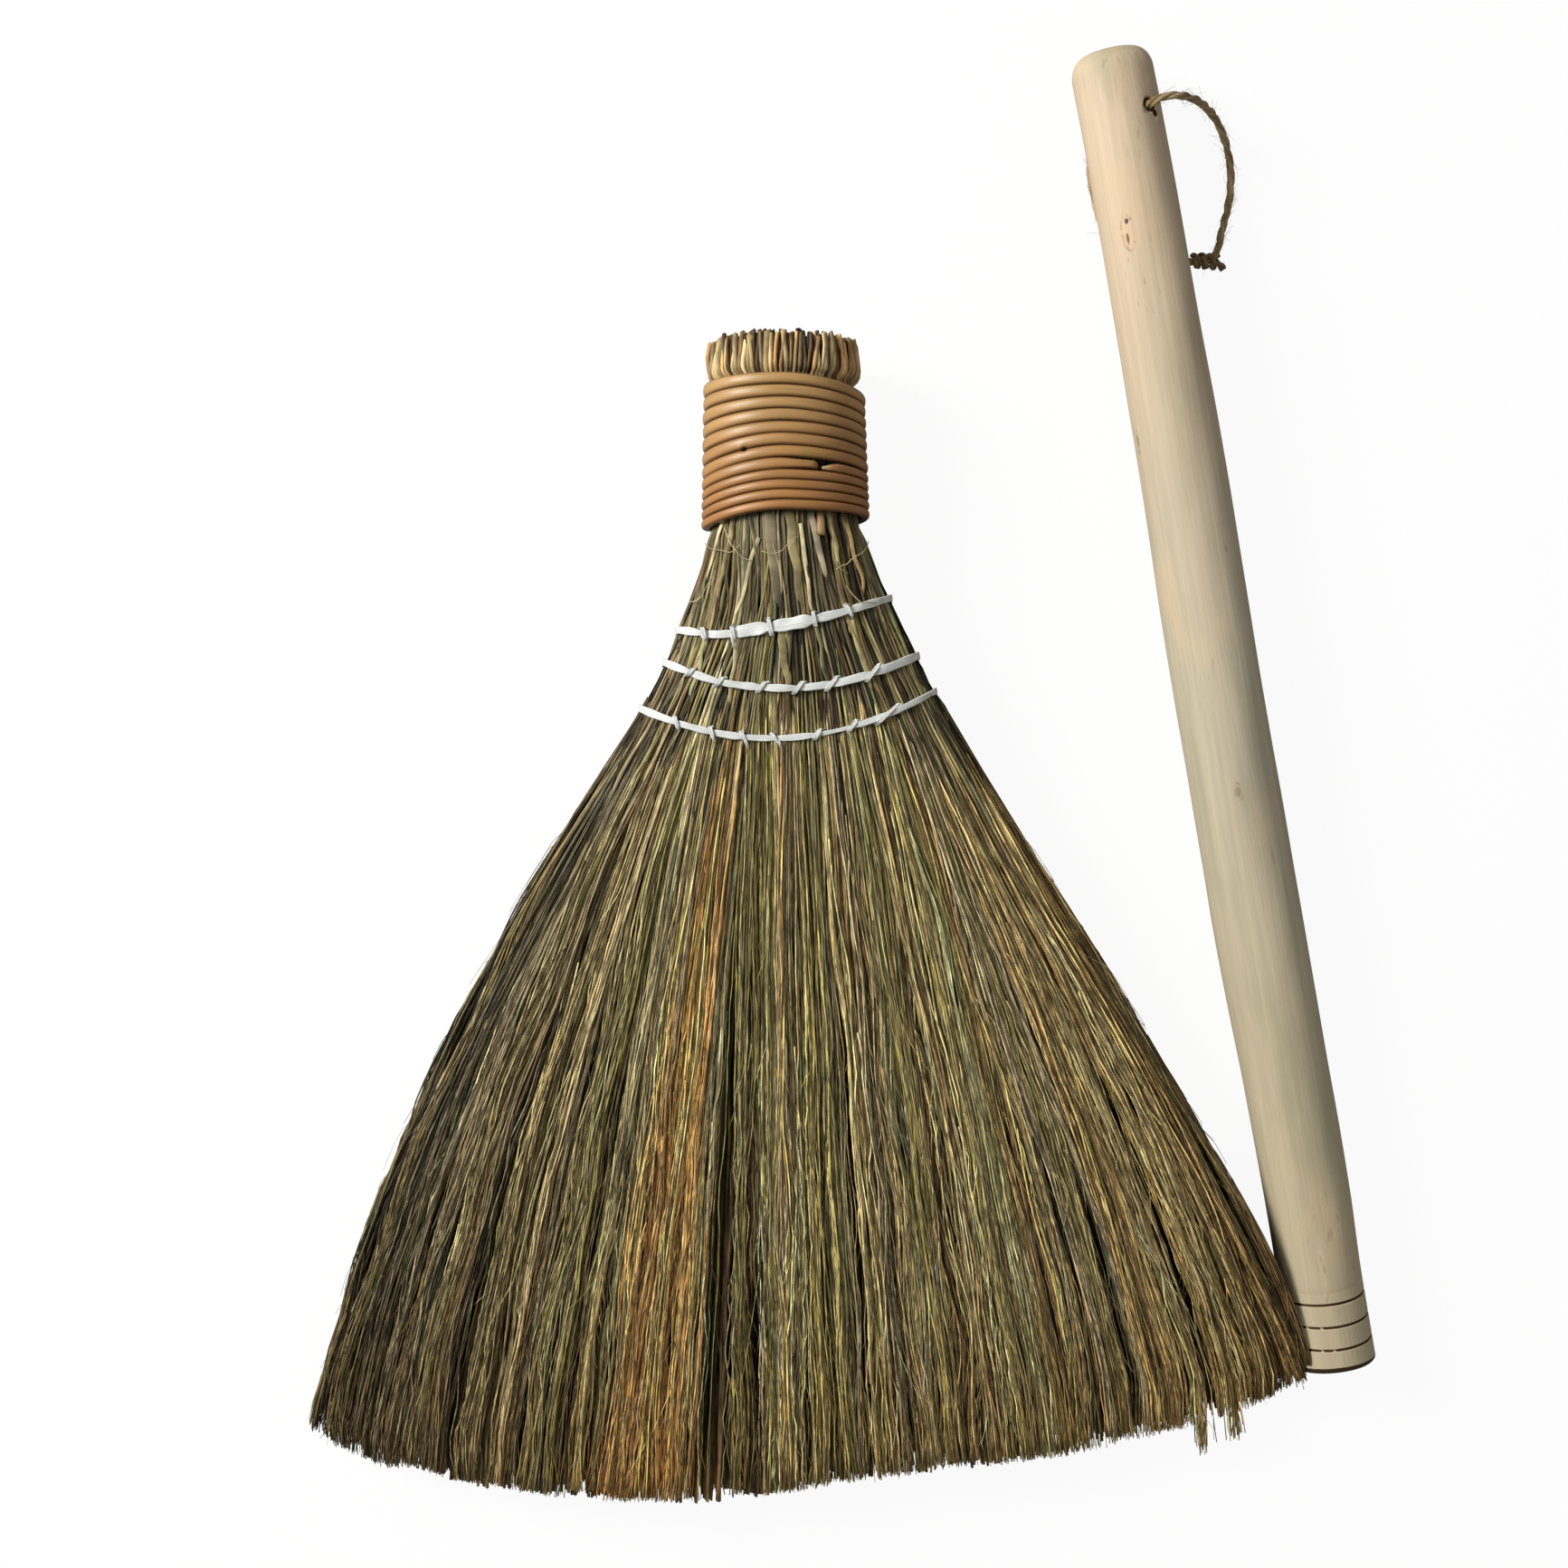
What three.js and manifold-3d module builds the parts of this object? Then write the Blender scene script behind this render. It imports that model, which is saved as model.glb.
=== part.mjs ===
// A straw hand broom, taken apart and laid flat: the head on its back, its plug-in stick beside it.
// Millimetres. +Z is up from the surface that both lie on, +Y runs from the bristle tips to the neck.

import * as THREE from 'three';
import { mergeVertices } from 'three/addons/utils/BufferGeometryUtils.js';
import Module from 'manifold-3d';

const wasm = await Module();
wasm.setup();

// The neck, where the stalk butts are bound round a socket for the stick
const neckMiddleZ = 18.5;
const buttY = 129;
const neckFootY = 66;
const socketRadius = 12.7;
const neckBunches = 12;
const firstBunchAngle = 15;
const stalksPerBunch = 3;
const stalkRidge = 0.7;
const pieceGap = 0.3;
const neckStations = [
  { y: buttY, halfWidth: 22.6, halfHeight: 17.6 },
  { y: 122, halfWidth: 23, halfHeight: 18 },
  { y: 118.3, halfWidth: 20.6, halfHeight: 16.1 },
  { y: 75.5, halfWidth: 21.9, halfHeight: 16.1 },
  { y: 72, halfWidth: 23.8, halfHeight: 16.3 },
  { y: neckFootY, halfWidth: 25.4, halfHeight: 16.4 },
];

// The rattan, two lengths of cane wound one below the other; angles in degrees from +X towards +Z
const windingClearance = 0.5;
const windingSteps = 18;
const caneHeight = 2.4;
const upperCane = { width: 2.9, pitch: 3.43, topY: 116.5, startAngle: 270, endAngle: 62, wholeTurns: 7 };
const lowerCane = { width: 2.35, pitch: 2.87, topY: 90.3, startAngle: 55, endAngle: -150, wholeTurns: 4 };
const caneTail = { width: 2.2, diveFrom: 40, diveTo: 14, sunk: -1.3, bendRadius: 4, footY: 70.6 };
const [diveStep, bendSteps] = [6.5, 5];
const caneGroove = 0.7;

// The sewn shoulder, from the neck down to where the bristles come loose
const backingTopY = 8.5;
const backingFootY = 3;
const shoulderEdge = 0.3;
const shoulderRound = 2.5;
const shoulderStations = [
  { y: neckFootY - pieceGap, halfWidth: 25.6, halfHeight: 16.4, middle: 18.5 },
  { y: 55, halfWidth: 30.2, halfHeight: 15.6, middle: 18.1 },
  { y: 43, halfWidth: 35.2, halfHeight: 14.8, middle: 17.7 },
  { y: 30, halfWidth: 41, halfHeight: 14, middle: 17.2 },
  { y: 16, halfWidth: 49, halfHeight: 13, middle: 16.6 },
  { y: backingFootY, halfWidth: 57.2, halfHeight: 12.6, middle: 16.2 },
];
const sliceNames = ['left_outer', 'left_inner', 'right_inner', 'right_outer'];
const sliceWidth = 2 / sliceNames.length;
const ridgesPerSlice = 5;

// The bristles, spread from the shoulder's last slice through mid length to the trimmed edge
const strandColumns = 15;
const strandLayers = 5;
const strandWidth = 1.4;
const strandRootY = 7;
const rootMargin = 1.4;
const rootInset = 0.94;
const fanBow = { y: -125, x: 7, halfWidth: 130 };
const fanEdge = { x: 2.2, halfWidth: 143.8, thickness: 21, thinning: 0.45 };
const trimmedEdge = { lowestX: -50, lowestY: -214.5, bow: 0.00078, cornerFrom: 0.75, cornerLift: 15 };
const floorCut = 0.5;
const floorSlab = { width: 600, depth: 40 };
const strandScatter = { x: 1, y: 1.6, z: 0.25 };

// The sewing: in each row a flat strip goes round the head, and a lace through it couches the strip down
const strip = { width: 2.8, thickness: 0.6, clearance: 0.45, samples: 12 };
const lace = { width: 1.8, thickness: 0.6, reach: 2.5, slack: 0.1, tunnel: 0.7, buried: 7 };
const stitchRows = [
  { middleY: 45.3, tilt: 0.15, sag: 0.0045, slant: 0.8, stitches: [-23, -14.6, -4, 8.6, 18.4] },
  { middleY: 27.4, tilt: 0, sag: 0.0067, slant: -1.2, stitches: [-27, -18.5, -6.6, 4, 13.6, 25.3] },
  {
    middleY: 13.2, tilt: 0.045, sag: 0.0062, slant: 1.1,
    stitches: [-31, -20.8, -11.6, -2.7, 9.5, 19.5, 29.5],
  },
];

// The stick: where its axis lies, and its radius at distances from its foot or, for the round, from its top
const stickFoot = new THREE.Vector3(164.4, -174.9, 12.1);
const stickTop = new THREE.Vector3(95.7, 218.2, 16.6);
const stickSides = 22;
const plugRadius = 12;
const plugRim = [[10.4, 0], [11.5, 0.5], [plugRadius, 1.6]];
const groove = { first: 6.2, spacing: 6.4, width: 0.9, slope: 0.2, depth: 0.6, count: 3 };
const stickBelly = [
  [12.1, 42], [12.35, 91], [13.2, 141], [12.85, 198], [12.4, 250], [12.15, 345], [11.8, 378],
];
const stickRound = [[11.2, 7], [9.8, 2.8], [7.2, 0.6], [0, 0]];
const cordHole = { fromFoot: 376, radius: 2.2, lean: 30, sides: 12 };

// The hanging cord, a twine loop through the stick, tied with a wrapped knot
const cordDiameter = 3.1;
const cordSides = 8;
const cordSteps = 34;
const cordInHole = [11.5, 4, -4, -11.5];
const knot = { x: 128.6, y: 158.8, z: 3, length: 8.8, radius: 2.8, endRadius: 2, waist: 2.5, sides: 12 };
const cordBeforeHole = [
  [131.6, 162, 3.2],
  [133.2, 168, 2.4],
  [135, 174.6, 1.9],
  [136, 181.4, 2],
  [135.4, 188.4, 3.4],
  [132.6, 194.2, 7.4],
  [127.6, 197.8, 14.4],
  [120.8, 198.8, 22.8],
  [114.4, 198.1, 28.2],
  [110.8, 197.5, 29.6],
  [107.6, 196.9, 28.9],
];
const cordBehindStick = [
  [93.2, 192.8, 3.9],
  [93, 189.2, 2.5],
  [93.4, 184.6, 1.9],
  [94.4, 178.6, 1.7],
  [96.2, 172.4, 1.7],
  [99, 166.8, 1.7],
  [103, 162.2, 1.7],
  [107.4, 159, 1.7],
  [114, 158.4, 1.8],
  [123.8, 158.8, 2.9],
];

const finishes = {
  straw: { color: 0x8a744d, roughness: 0.75 },
  bristle: { color: 0x6f6040, roughness: 0.8 },
  rattan: { color: 0xa97a45, roughness: 0.4 },
  strip: { color: 0xdadbd3, roughness: 0.45 },
  wood: { color: 0xd2bf9b, roughness: 0.6 },
  twine: { color: 0xa48a63, roughness: 0.9 },
};

const broom = new THREE.Group();
const head = new THREE.Group();
const stick = new THREE.Group();
const cordLoop = new THREE.Group();

function addPiece(group, name, geometry, finish) {
  geometry.computeVertexNormals();
  const material = new THREE.MeshStandardMaterial({ ...finish, metalness: 0 });
  const mesh = new THREE.Mesh(geometry, material);
  mesh.name = name;
  group.add(mesh);
  return mesh;
}

function point(x, y, z) {
  return new THREE.Vector3(x, y, z);
}

// A repeatable spread of numbers between -1 and 1
let seed = 7;
function scatter() {
  seed = (seed * 16807) % 2147483647;
  return (seed / 2147483647) * 2 - 1;
}

// A station's values at y, in straight steps from one station to the next
function stationAt(stations, y) {
  const found = stations.findIndex((station) => station.y <= y);
  const next = found < 0 ? stations.length - 1 : Math.max(found, 1);
  const [above, below] = [stations[next - 1], stations[next]];
  const share = (y - above.y) / (below.y - above.y);
  const value = {};
  for (const key of Object.keys(above)) {
    value[key] = THREE.MathUtils.lerp(above[key], below[key], share);
  }
  return value;
}

function signedVolume(points, faces) {
  const cross = new THREE.Vector3();
  let total = 0;
  for (const [a, b, c] of faces) {
    total += points[a].dot(cross.crossVectors(points[b], points[c]));
  }
  return total / 6;
}

function facesToGeometry(points, faces) {
  const outward = signedVolume(points, faces) > 0;
  const index = faces.flatMap(([a, b, c]) => (outward ? [a, b, c] : [a, c, b]));
  const geometry = new THREE.BufferGeometry().setFromPoints(points);
  geometry.setIndex(index);
  return geometry;
}

// Walls from ring to ring, each ring a loop of as many points; a closed band joins its last to its first
function ringWalls(ringCount, sides, closed) {
  const faces = [];
  const walls = closed ? ringCount : ringCount - 1;
  for (let ring = 0; ring < walls; ring++) {
    const next = (ring + 1) % ringCount;
    for (let side = 0; side < sides; side++) {
      const after = (side + 1) % sides;
      const [a, b] = [ring * sides + side, ring * sides + after];
      const [c, d] = [next * sides + side, next * sides + after];
      faces.push([a, b, d], [a, d, c]);
    }
  }
  return faces;
}

// A flat outline cut into triangles that all turn the way the outline does
function capFaces(outline) {
  const turn = Math.sign(THREE.ShapeUtils.area(outline));
  return THREE.ShapeUtils.triangulateShape(outline, []).map(([a, b, c]) => {
    const corner = Math.sign(THREE.ShapeUtils.area([outline[a], outline[b], outline[c]]));
    return corner === turn ? [a, b, c] : [a, c, b];
  });
}

// A solid skinned over rings and closed at both ends; flatten lays a ring out as a flat outline
function skinRings(rings, flatten) {
  const sides = rings[0].length;
  const faces = ringWalls(rings.length, sides, false);
  const lastRing = (rings.length - 1) * sides;
  for (const [a, b, c] of capFaces(rings[0].map(flatten))) {
    faces.push([a, c, b]);
  }
  for (const corners of capFaces(rings.at(-1).map(flatten))) {
    faces.push(corners.map((corner) => lastRing + corner));
  }
  return facesToGeometry(rings.flat(), faces);
}

function skinLoop(rings) {
  return facesToGeometry(rings.flat(), ringWalls(rings.length, rings[0].length, true));
}

// For rings square to Y, and for the small convex sections of a tube
const seenAlongY = ({ x, z }) => new THREE.Vector2(x, z);
const evenlySpaced = (_, side, ring) => {
  const angle = (2 * Math.PI * side) / ring.length;
  return new THREE.Vector2(Math.cos(angle), Math.sin(angle));
};

// A library shape with its shared vertices merged and its collapsed triangles dropped
function shareVertices(geometry) {
  geometry.deleteAttribute('normal');
  geometry.deleteAttribute('uv');
  const merged = mergeVertices(geometry, 1e-3);
  const kept = [];
  for (let i = 0; i < merged.index.count; i += 3) {
    const [a, b, c] = merged.index.array.slice(i, i + 3);
    if (a !== b && b !== c && c !== a) kept.push(a, b, c);
  }
  merged.setIndex(kept);
  return merged;
}

function toSolid(geometry) {
  const vertProperties = Float32Array.from(geometry.attributes.position.array);
  const triVerts = Uint32Array.from(geometry.index.array);
  return new wasm.Manifold(new wasm.Mesh({ numProp: 3, vertProperties, triVerts }));
}

function toGeometry(solid) {
  const mesh = solid.getMesh();
  const geometry = new THREE.BufferGeometry();
  geometry.setAttribute('position', new THREE.BufferAttribute(mesh.vertProperties, 3));
  geometry.setIndex(new THREE.BufferAttribute(mesh.triVerts, 1));
  return geometry;
}

// Everything under the surface that the broom lies on
const slab = new THREE.BoxGeometry(floorSlab.width, floorSlab.width, floorSlab.depth);
const underFloor = toSolid(shareVertices(slab.translate(0, 0, -floorSlab.depth / 2)));

// Neck bunches

// One bunch across the neck: a ridge for each stalk outside, and the socket's wall inside
function bunchOutline({ halfWidth, halfHeight }, fromAngle, toAngle) {
  const outline = [];
  const outerSteps = 2 * stalksPerBunch;
  const outerTrim = THREE.MathUtils.radToDeg(pieceGap / 2 / halfHeight);
  for (let step = 0; step <= outerSteps; step++) {
    const degrees = THREE.MathUtils.lerp(fromAngle + outerTrim, toAngle - outerTrim, step / outerSteps);
    const angle = THREE.MathUtils.degToRad(degrees);
    const dip = step % 2 ? 0 : stalkRidge;
    outline.push([(halfWidth - dip) * Math.cos(angle), (halfHeight - dip) * Math.sin(angle)]);
  }
  const innerTrim = THREE.MathUtils.radToDeg(pieceGap / 2 / socketRadius);
  for (let step = 0; step <= stalksPerBunch; step++) {
    const degrees = THREE.MathUtils.lerp(toAngle - innerTrim, fromAngle + innerTrim, step / stalksPerBunch);
    const angle = THREE.MathUtils.degToRad(degrees);
    outline.push([socketRadius * Math.cos(angle), socketRadius * Math.sin(angle)]);
  }
  return outline;
}

function neckBunch(fromAngle, toAngle) {
  const rings = neckStations.map((station) => {
    return bunchOutline(station, fromAngle, toAngle).map(([x, z]) => point(x, station.y, neckMiddleZ + z));
  });
  return skinRings(rings, seenAlongY);
}

// Rattan winding

// A place on the cane's route: an angle round the neck, a height along it and an offset from its surface
function aroundNeck({ degrees, y, offset }) {
  const { halfWidth, halfHeight } = stationAt(neckStations, y);
  const angle = THREE.MathUtils.degToRad(degrees);
  const across = (halfWidth + offset) * Math.cos(angle);
  const up = (halfHeight + offset) * Math.sin(angle);
  const centre = point(across, y, neckMiddleZ + up);
  const outward = point(Math.cos(angle) / halfWidth, 0, Math.sin(angle) / halfHeight).normalize();
  return { centre, outward };
}

// Six-sided rings along the cane's route, flat outside and inside; grow widens them for a clearance cut
function caneRings(route, grow = 0) {
  const places = route.map(aroundNeck);
  const rings = places.map(({ centre, outward }, i) => {
    const before = places[Math.max(i - 1, 0)].centre;
    const after = places[Math.min(i + 1, places.length - 1)].centre;
    const along = after.clone().sub(before).normalize();
    const side = along.clone().cross(outward).normalize();
    const up = side.clone().cross(along);
    const halfWidth = (route[i].width + grow) / 2;
    const halfHeight = (caneHeight + grow) / 2;
    const section = [[1, 0], [0.5, 1], [-0.5, 1], [-1, 0], [-0.5, -1], [0.5, -1]];
    return section.map(([s, u]) => {
      return centre.clone().addScaledVector(side, s * halfWidth).addScaledVector(up, u * halfHeight);
    });
  });
  return rings;
}

// An end that runs straight on for one cane's width
function straightEnd(rings, width) {
  const [last, previous] = [rings.at(-1), rings.at(-2)];
  const along = last[0].clone().add(last[3]).sub(previous[0]).sub(previous[3]).normalize();
  return last.map((corner) => corner.clone().addScaledVector(along, width));
}

function helixRoute({ width, pitch, topY, startAngle, endAngle, wholeTurns }) {
  const turns = wholeTurns + (startAngle - endAngle) / 360;
  const steps = Math.round(turns * windingSteps);
  return Array.from({ length: steps + 1 }, (_, step) => {
    const turned = (step / steps) * turns;
    const degrees = endAngle + (turns - turned) * 360;
    return { degrees, y: topY - turned * pitch, offset: windingClearance + caneHeight / 2, width };
  });
}

// The upper cane's end dives under the next turns, bends down the neck and comes out below them
function tuckedTail(route) {
  const { endAngle, width } = upperCane;
  const onSurface = route.filter(({ degrees }) => degrees > endAngle + caneTail.diveFrom);
  const { y: endY, offset } = route.at(-1);
  const dive = [];
  for (let degrees = caneTail.diveFrom; degrees >= caneTail.diveTo; degrees -= diveStep) {
    const share = THREE.MathUtils.smoothstep(-degrees, -caneTail.diveFrom, -caneTail.diveTo);
    dive.push({
      degrees: endAngle + degrees,
      y: endY + (degrees / 360) * upperCane.pitch,
      offset: THREE.MathUtils.lerp(offset, caneTail.sunk, share),
      width: THREE.MathUtils.lerp(width, caneTail.width, share),
    });
  }
  const sunk = { offset: caneTail.sunk, width: caneTail.width };
  const bendY = dive.at(-1).y;
  const bend = Array.from({ length: bendSteps }, (_, step) => {
    const turned = ((step + 1) / bendSteps) * (Math.PI / 2);
    const degrees = endAngle + (caneTail.diveTo - 1) * (1 - Math.sin(turned));
    return { ...sunk, degrees, y: bendY - caneTail.bendRadius * (1 - Math.cos(turned)) };
  });
  const foot = { ...sunk, degrees: endAngle, y: caneTail.footY };
  return { onSurface, tucked: [...dive, ...bend, foot] };
}

function leastGap(rings) {
  let least = Infinity;
  for (let i = 0; i < rings.length; i++) {
    for (let j = i + windingSteps / 2; j < rings.length; j++) {
      for (const p of rings[i]) {
        for (const q of rings[j]) least = Math.min(least, p.distanceTo(q));
      }
    }
  }
  return least;
}

function skinCane(name, rings) {
  console.log(`${name}: least gap to itself ${leastGap(rings).toFixed(2)} mm`);
  const solid = toSolid(skinRings(rings, evenlySpaced)).subtract(underFloor);
  addPiece(head, name, toGeometry(solid), finishes.rattan);
}

const { onSurface, tucked } = tuckedTail(helixRoute(upperCane));
const upperRings = caneRings([...onSurface, ...tucked]);
upperRings.unshift(straightEnd(upperRings.slice(0, 2).reverse(), upperCane.width));
const lowerRings = caneRings(helixRoute(lowerCane));
lowerRings.unshift(straightEnd(lowerRings.slice(0, 2).reverse(), lowerCane.width));
lowerRings.push(straightEnd(lowerRings, lowerCane.width));
skinCane('rattan_winding_upper', upperRings);
skinCane('rattan_winding_lower', lowerRings);

// The neck's bunches, with a groove where the cane's tail lies under its own turns
const grooveRings = caneRings(tucked, caneGroove);
grooveRings.push(straightEnd(grooveRings, pieceGap));
const tailGroove = toSolid(skinRings(grooveRings, evenlySpaced));
const bunchAngle = 360 / neckBunches;
for (let i = 0; i < neckBunches; i++) {
  const fromAngle = firstBunchAngle + i * bunchAngle;
  const solid = toSolid(neckBunch(fromAngle, fromAngle + bunchAngle)).subtract(tailGroove);
  const name = `neck_bunch_${String(i + 1).padStart(2, '0')}`;
  addPiece(head, name, toGeometry(solid), finishes.straw);
}

// Sewing

// Half the shoulder's thickness at share of its half width, full in the middle and rounded to the edges
function halfThickness(station, share) {
  const round = Math.sqrt(Math.max(1 - Math.abs(share) ** shoulderRound, 0));
  return station.halfHeight * (shoulderEdge + (1 - shoulderEdge) * round);
}

function shoulderFace(x, y, side) {
  const station = stationAt(shoulderStations, y);
  return station.middle + side * halfThickness(station, x / station.halfWidth);
}

function rowY({ middleY, tilt, sag }, x) {
  return middleY + tilt * x + sag * x * x;
}

// The loop that a stitch row follows round the shoulder, shift along Y from the row's own line
function rowLoop(row, shift) {
  const loop = [];
  for (let step = 0; step <= 2 * strip.samples + 1; step++) {
    const onTop = step <= strip.samples;
    const along = onTop ? step / strip.samples : 2 - (step - 1) / strip.samples;
    const share = Math.sin((along - 0.5) * Math.PI);
    let x = 0;
    for (let guess = 0; guess < 6; guess++) {
      x = share * stationAt(shoulderStations, rowY(row, x) + shift).halfWidth;
    }
    const y = rowY(row, x) + shift;
    loop.push(point(x, y, shoulderFace(x, y, onTop ? 1 : -1)));
  }
  return loop;
}

// A loop moved outwards in the XZ plane, its corners mitred
function offsetLoop(loop, distance) {
  return loop.map((here, i) => {
    const before = loop.at(i - 1);
    const after = loop[(i + 1) % loop.length];
    const normals = [[before, here], [here, after]].map(([from, to]) => {
      return new THREE.Vector2(from.z - to.z, to.x - from.x).normalize();
    });
    const mitre = normals[0].clone().add(normals[1]).divideScalar(1 + normals[0].dot(normals[1]));
    return point(here.x + mitre.x * distance, here.y, here.z + mitre.y * distance);
  });
}

function stripBand(row) {
  const [upper, lower] = [strip.width / 2, -strip.width / 2].map((shift) => rowLoop(row, shift));
  const [inside, outside] = [strip.clearance, strip.clearance + strip.thickness];
  const corners = [
    offsetLoop(upper, inside),
    offsetLoop(upper, outside),
    offsetLoop(lower, outside),
    offsetLoop(lower, inside),
  ];
  return skinLoop(upper.map((_, i) => corners.map((loop) => loop[i])));
}

// The lace's corners: over the strip in front, through the head, over the strip behind, and on to the next
function laceCorners(row, extra) {
  const lift = strip.clearance + strip.thickness + pieceGap + lace.thickness / 2 + lace.slack;
  const corner = (x, along, side) => {
    const y = rowY(row, x) + along * lace.reach;
    return point(x, y, shoulderFace(x, y, side) + side * lift);
  };
  const corners = row.stitches.flatMap((x) => [
    corner(x - row.slant, 1, 1),
    corner(x + row.slant, -1, 1),
    corner(x + row.slant, -1, -1),
    corner(x + row.slant, 1, -1),
  ]);
  const [first, last] = [corners[0], corners.at(-1)];
  corners.unshift(point(first.x, first.y, first.z - lace.buried - extra));
  corners.push(point(last.x, last.y, last.z + lace.buried + extra));
  return corners;
}

// A flat ribbon round mitred corners that lie in planes square to X
function laceRibbon(corners, width, thickness) {
  const normalOf = (from, to) => new THREE.Vector2(from.z - to.z, to.y - from.y).normalize();
  const rings = corners.map((here, i) => {
    const before = normalOf(corners[Math.max(i - 1, 0)], corners[Math.max(i - 1, 0) + 1]);
    const lastLeg = corners.length - 2;
    const after = normalOf(corners[Math.min(i, lastLeg)], corners[Math.min(i, lastLeg) + 1]);
    const mitre = before.clone().add(after).divideScalar(1 + before.dot(after));
    return [[-1, 1], [1, 1], [1, -1], [-1, -1]].map(([across, out]) => {
      const move = (out * thickness) / 2;
      return point(here.x + (across * width) / 2, here.y + mitre.x * move, here.z + mitre.y * move);
    });
  });
  return skinRings(rings, evenlySpaced);
}

const laceTunnels = [];
stitchRows.forEach((row, i) => {
  addPiece(head, `stitch_strip_${i + 1}`, stripBand(row), finishes.strip);
  const ribbon = laceRibbon(laceCorners(row, 0), lace.width, lace.thickness);
  addPiece(head, `stitch_lace_${i + 1}`, ribbon, finishes.strip);
  const { tunnel } = lace;
  laceTunnels.push(laceRibbon(laceCorners(row, tunnel), lace.width + tunnel, lace.thickness + tunnel));
});

// Shoulder bunches

// A quarter of the head's width, ridged above and below where its stalks lie side by side
function stalkSlice(stations, fromShare) {
  const toShare = fromShare + sliceWidth;
  const steps = 2 * ridgesPerSlice;
  const rings = stations.map((station) => {
    const faces = [1, -1].map((side) => {
      return Array.from({ length: steps + 1 }, (_, step) => {
        const share = THREE.MathUtils.lerp(fromShare, toShare, step / steps);
        const trim = step === 0 ? pieceGap / 2 : step === steps ? -pieceGap / 2 : 0;
        const dip = step % 2 ? 0 : stalkRidge;
        const height = halfThickness(station, share) - dip;
        return point(share * station.halfWidth + trim, station.y, station.middle + side * height);
      });
    });
    return [...faces[0], ...faces[1].reverse()];
  });
  return toSolid(skinRings(rings, seenAlongY));
}

const sewnFoot = stationAt(shoulderStations, backingTopY + pieceGap);
const sewnStations = [...shoulderStations.slice(0, -1), sewnFoot];
sliceNames.forEach((name, i) => {
  let bunch = stalkSlice(sewnStations, -1 + i * sliceWidth);
  for (const tunnel of laceTunnels) {
    bunch = bunch.subtract(toSolid(tunnel));
  }
  addPiece(head, `shoulder_bunch_${name}`, toGeometry(bunch), finishes.straw);
});

// Bristle bunches

function trimmedEdgeY(x, share) {
  const { lowestX, lowestY, bow, cornerFrom, cornerLift } = trimmedEdge;
  const corner = Math.max(Math.abs(share) - cornerFrom, 0) / (1 - cornerFrom);
  return lowestY + bow * (x - lowestX) ** 2 + cornerLift * corner ** 2;
}

// One strand from its backing to the trimmed edge; the outermost layers bow outwards at mid length
function bristleStrand(share, layer, sliceMiddle) {
  const backing = stationAt(shoulderStations, strandRootY);
  const rootShare = THREE.MathUtils.lerp(sliceMiddle, share, rootInset);
  const rootX = rootShare * backing.halfWidth;
  const rootZ = backing.middle + layer * (halfThickness(backing, rootShare) - rootMargin);
  const root = point(rootX, strandRootY, rootZ);
  const rise = (layer + 1) / 2;
  const thickness = fanEdge.thickness * (1 - fanEdge.thinning * share * share);
  const tipX = fanEdge.x + share * fanEdge.halfWidth + scatter() * strandScatter.x;
  const tipY = trimmedEdgeY(tipX, share) + scatter() * strandScatter.y;
  const tip = point(tipX, tipY, rise * (thickness + scatter() * strandScatter.z) - floorCut);
  const spine = [root, tip];
  if (Math.abs(layer) === 1) {
    const bow = root.clone().lerp(tip, (root.y - fanBow.y) / (root.y - tip.y));
    bow.x = fanBow.x + share * fanBow.halfWidth;
    spine.splice(1, 0, bow);
  }
  const triangleHeight = (strandWidth * Math.sqrt(3)) / 2;
  const rings = spine.map((base) => [
    point(base.x - strandWidth / 2, base.y, base.z),
    point(base.x + strandWidth / 2, base.y, base.z),
    point(base.x, base.y, base.z + triangleHeight),
  ]);
  return toSolid(skinRings(rings, seenAlongY));
}

const backingStations = [backingTopY, backingFootY].map((y) => stationAt(shoulderStations, y));
sliceNames.forEach((name, i) => {
  const fromShare = -1 + i * sliceWidth;
  let bunch = stalkSlice(backingStations, fromShare);
  for (let layer = 0; layer < strandLayers; layer++) {
    const stagger = (layer + 0.5) / strandLayers;
    for (let column = 0; column < strandColumns; column++) {
      const share = fromShare + (sliceWidth * (column + stagger)) / strandColumns;
      const strand = bristleStrand(share, (2 * layer) / (strandLayers - 1) - 1, fromShare + sliceWidth / 2);
      bunch = bunch.add(strand);
    }
  }
  addPiece(head, `bristle_bunch_${name}`, toGeometry(bunch.subtract(underFloor)), finishes.bristle);
});

// Stick

function stickProfile() {
  const grooves = Array.from({ length: groove.count }, (_, i) => {
    const middle = groove.first + i * groove.spacing;
    const [from, to] = [middle - groove.width / 2, middle + groove.width / 2];
    const floor = plugRadius - groove.depth;
    return [[plugRadius, from], [floor, from + groove.slope], [floor, to - groove.slope], [plugRadius, to]];
  });
  const length = stickTop.distanceTo(stickFoot);
  const top = stickRound.map(([radius, fromTop]) => [radius, length - fromTop]);
  const profile = [[0, 0], ...plugRim, ...grooves.flat(), ...stickBelly, ...top];
  return profile.map(([radius, along]) => new THREE.Vector2(radius, along));
}

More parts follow.
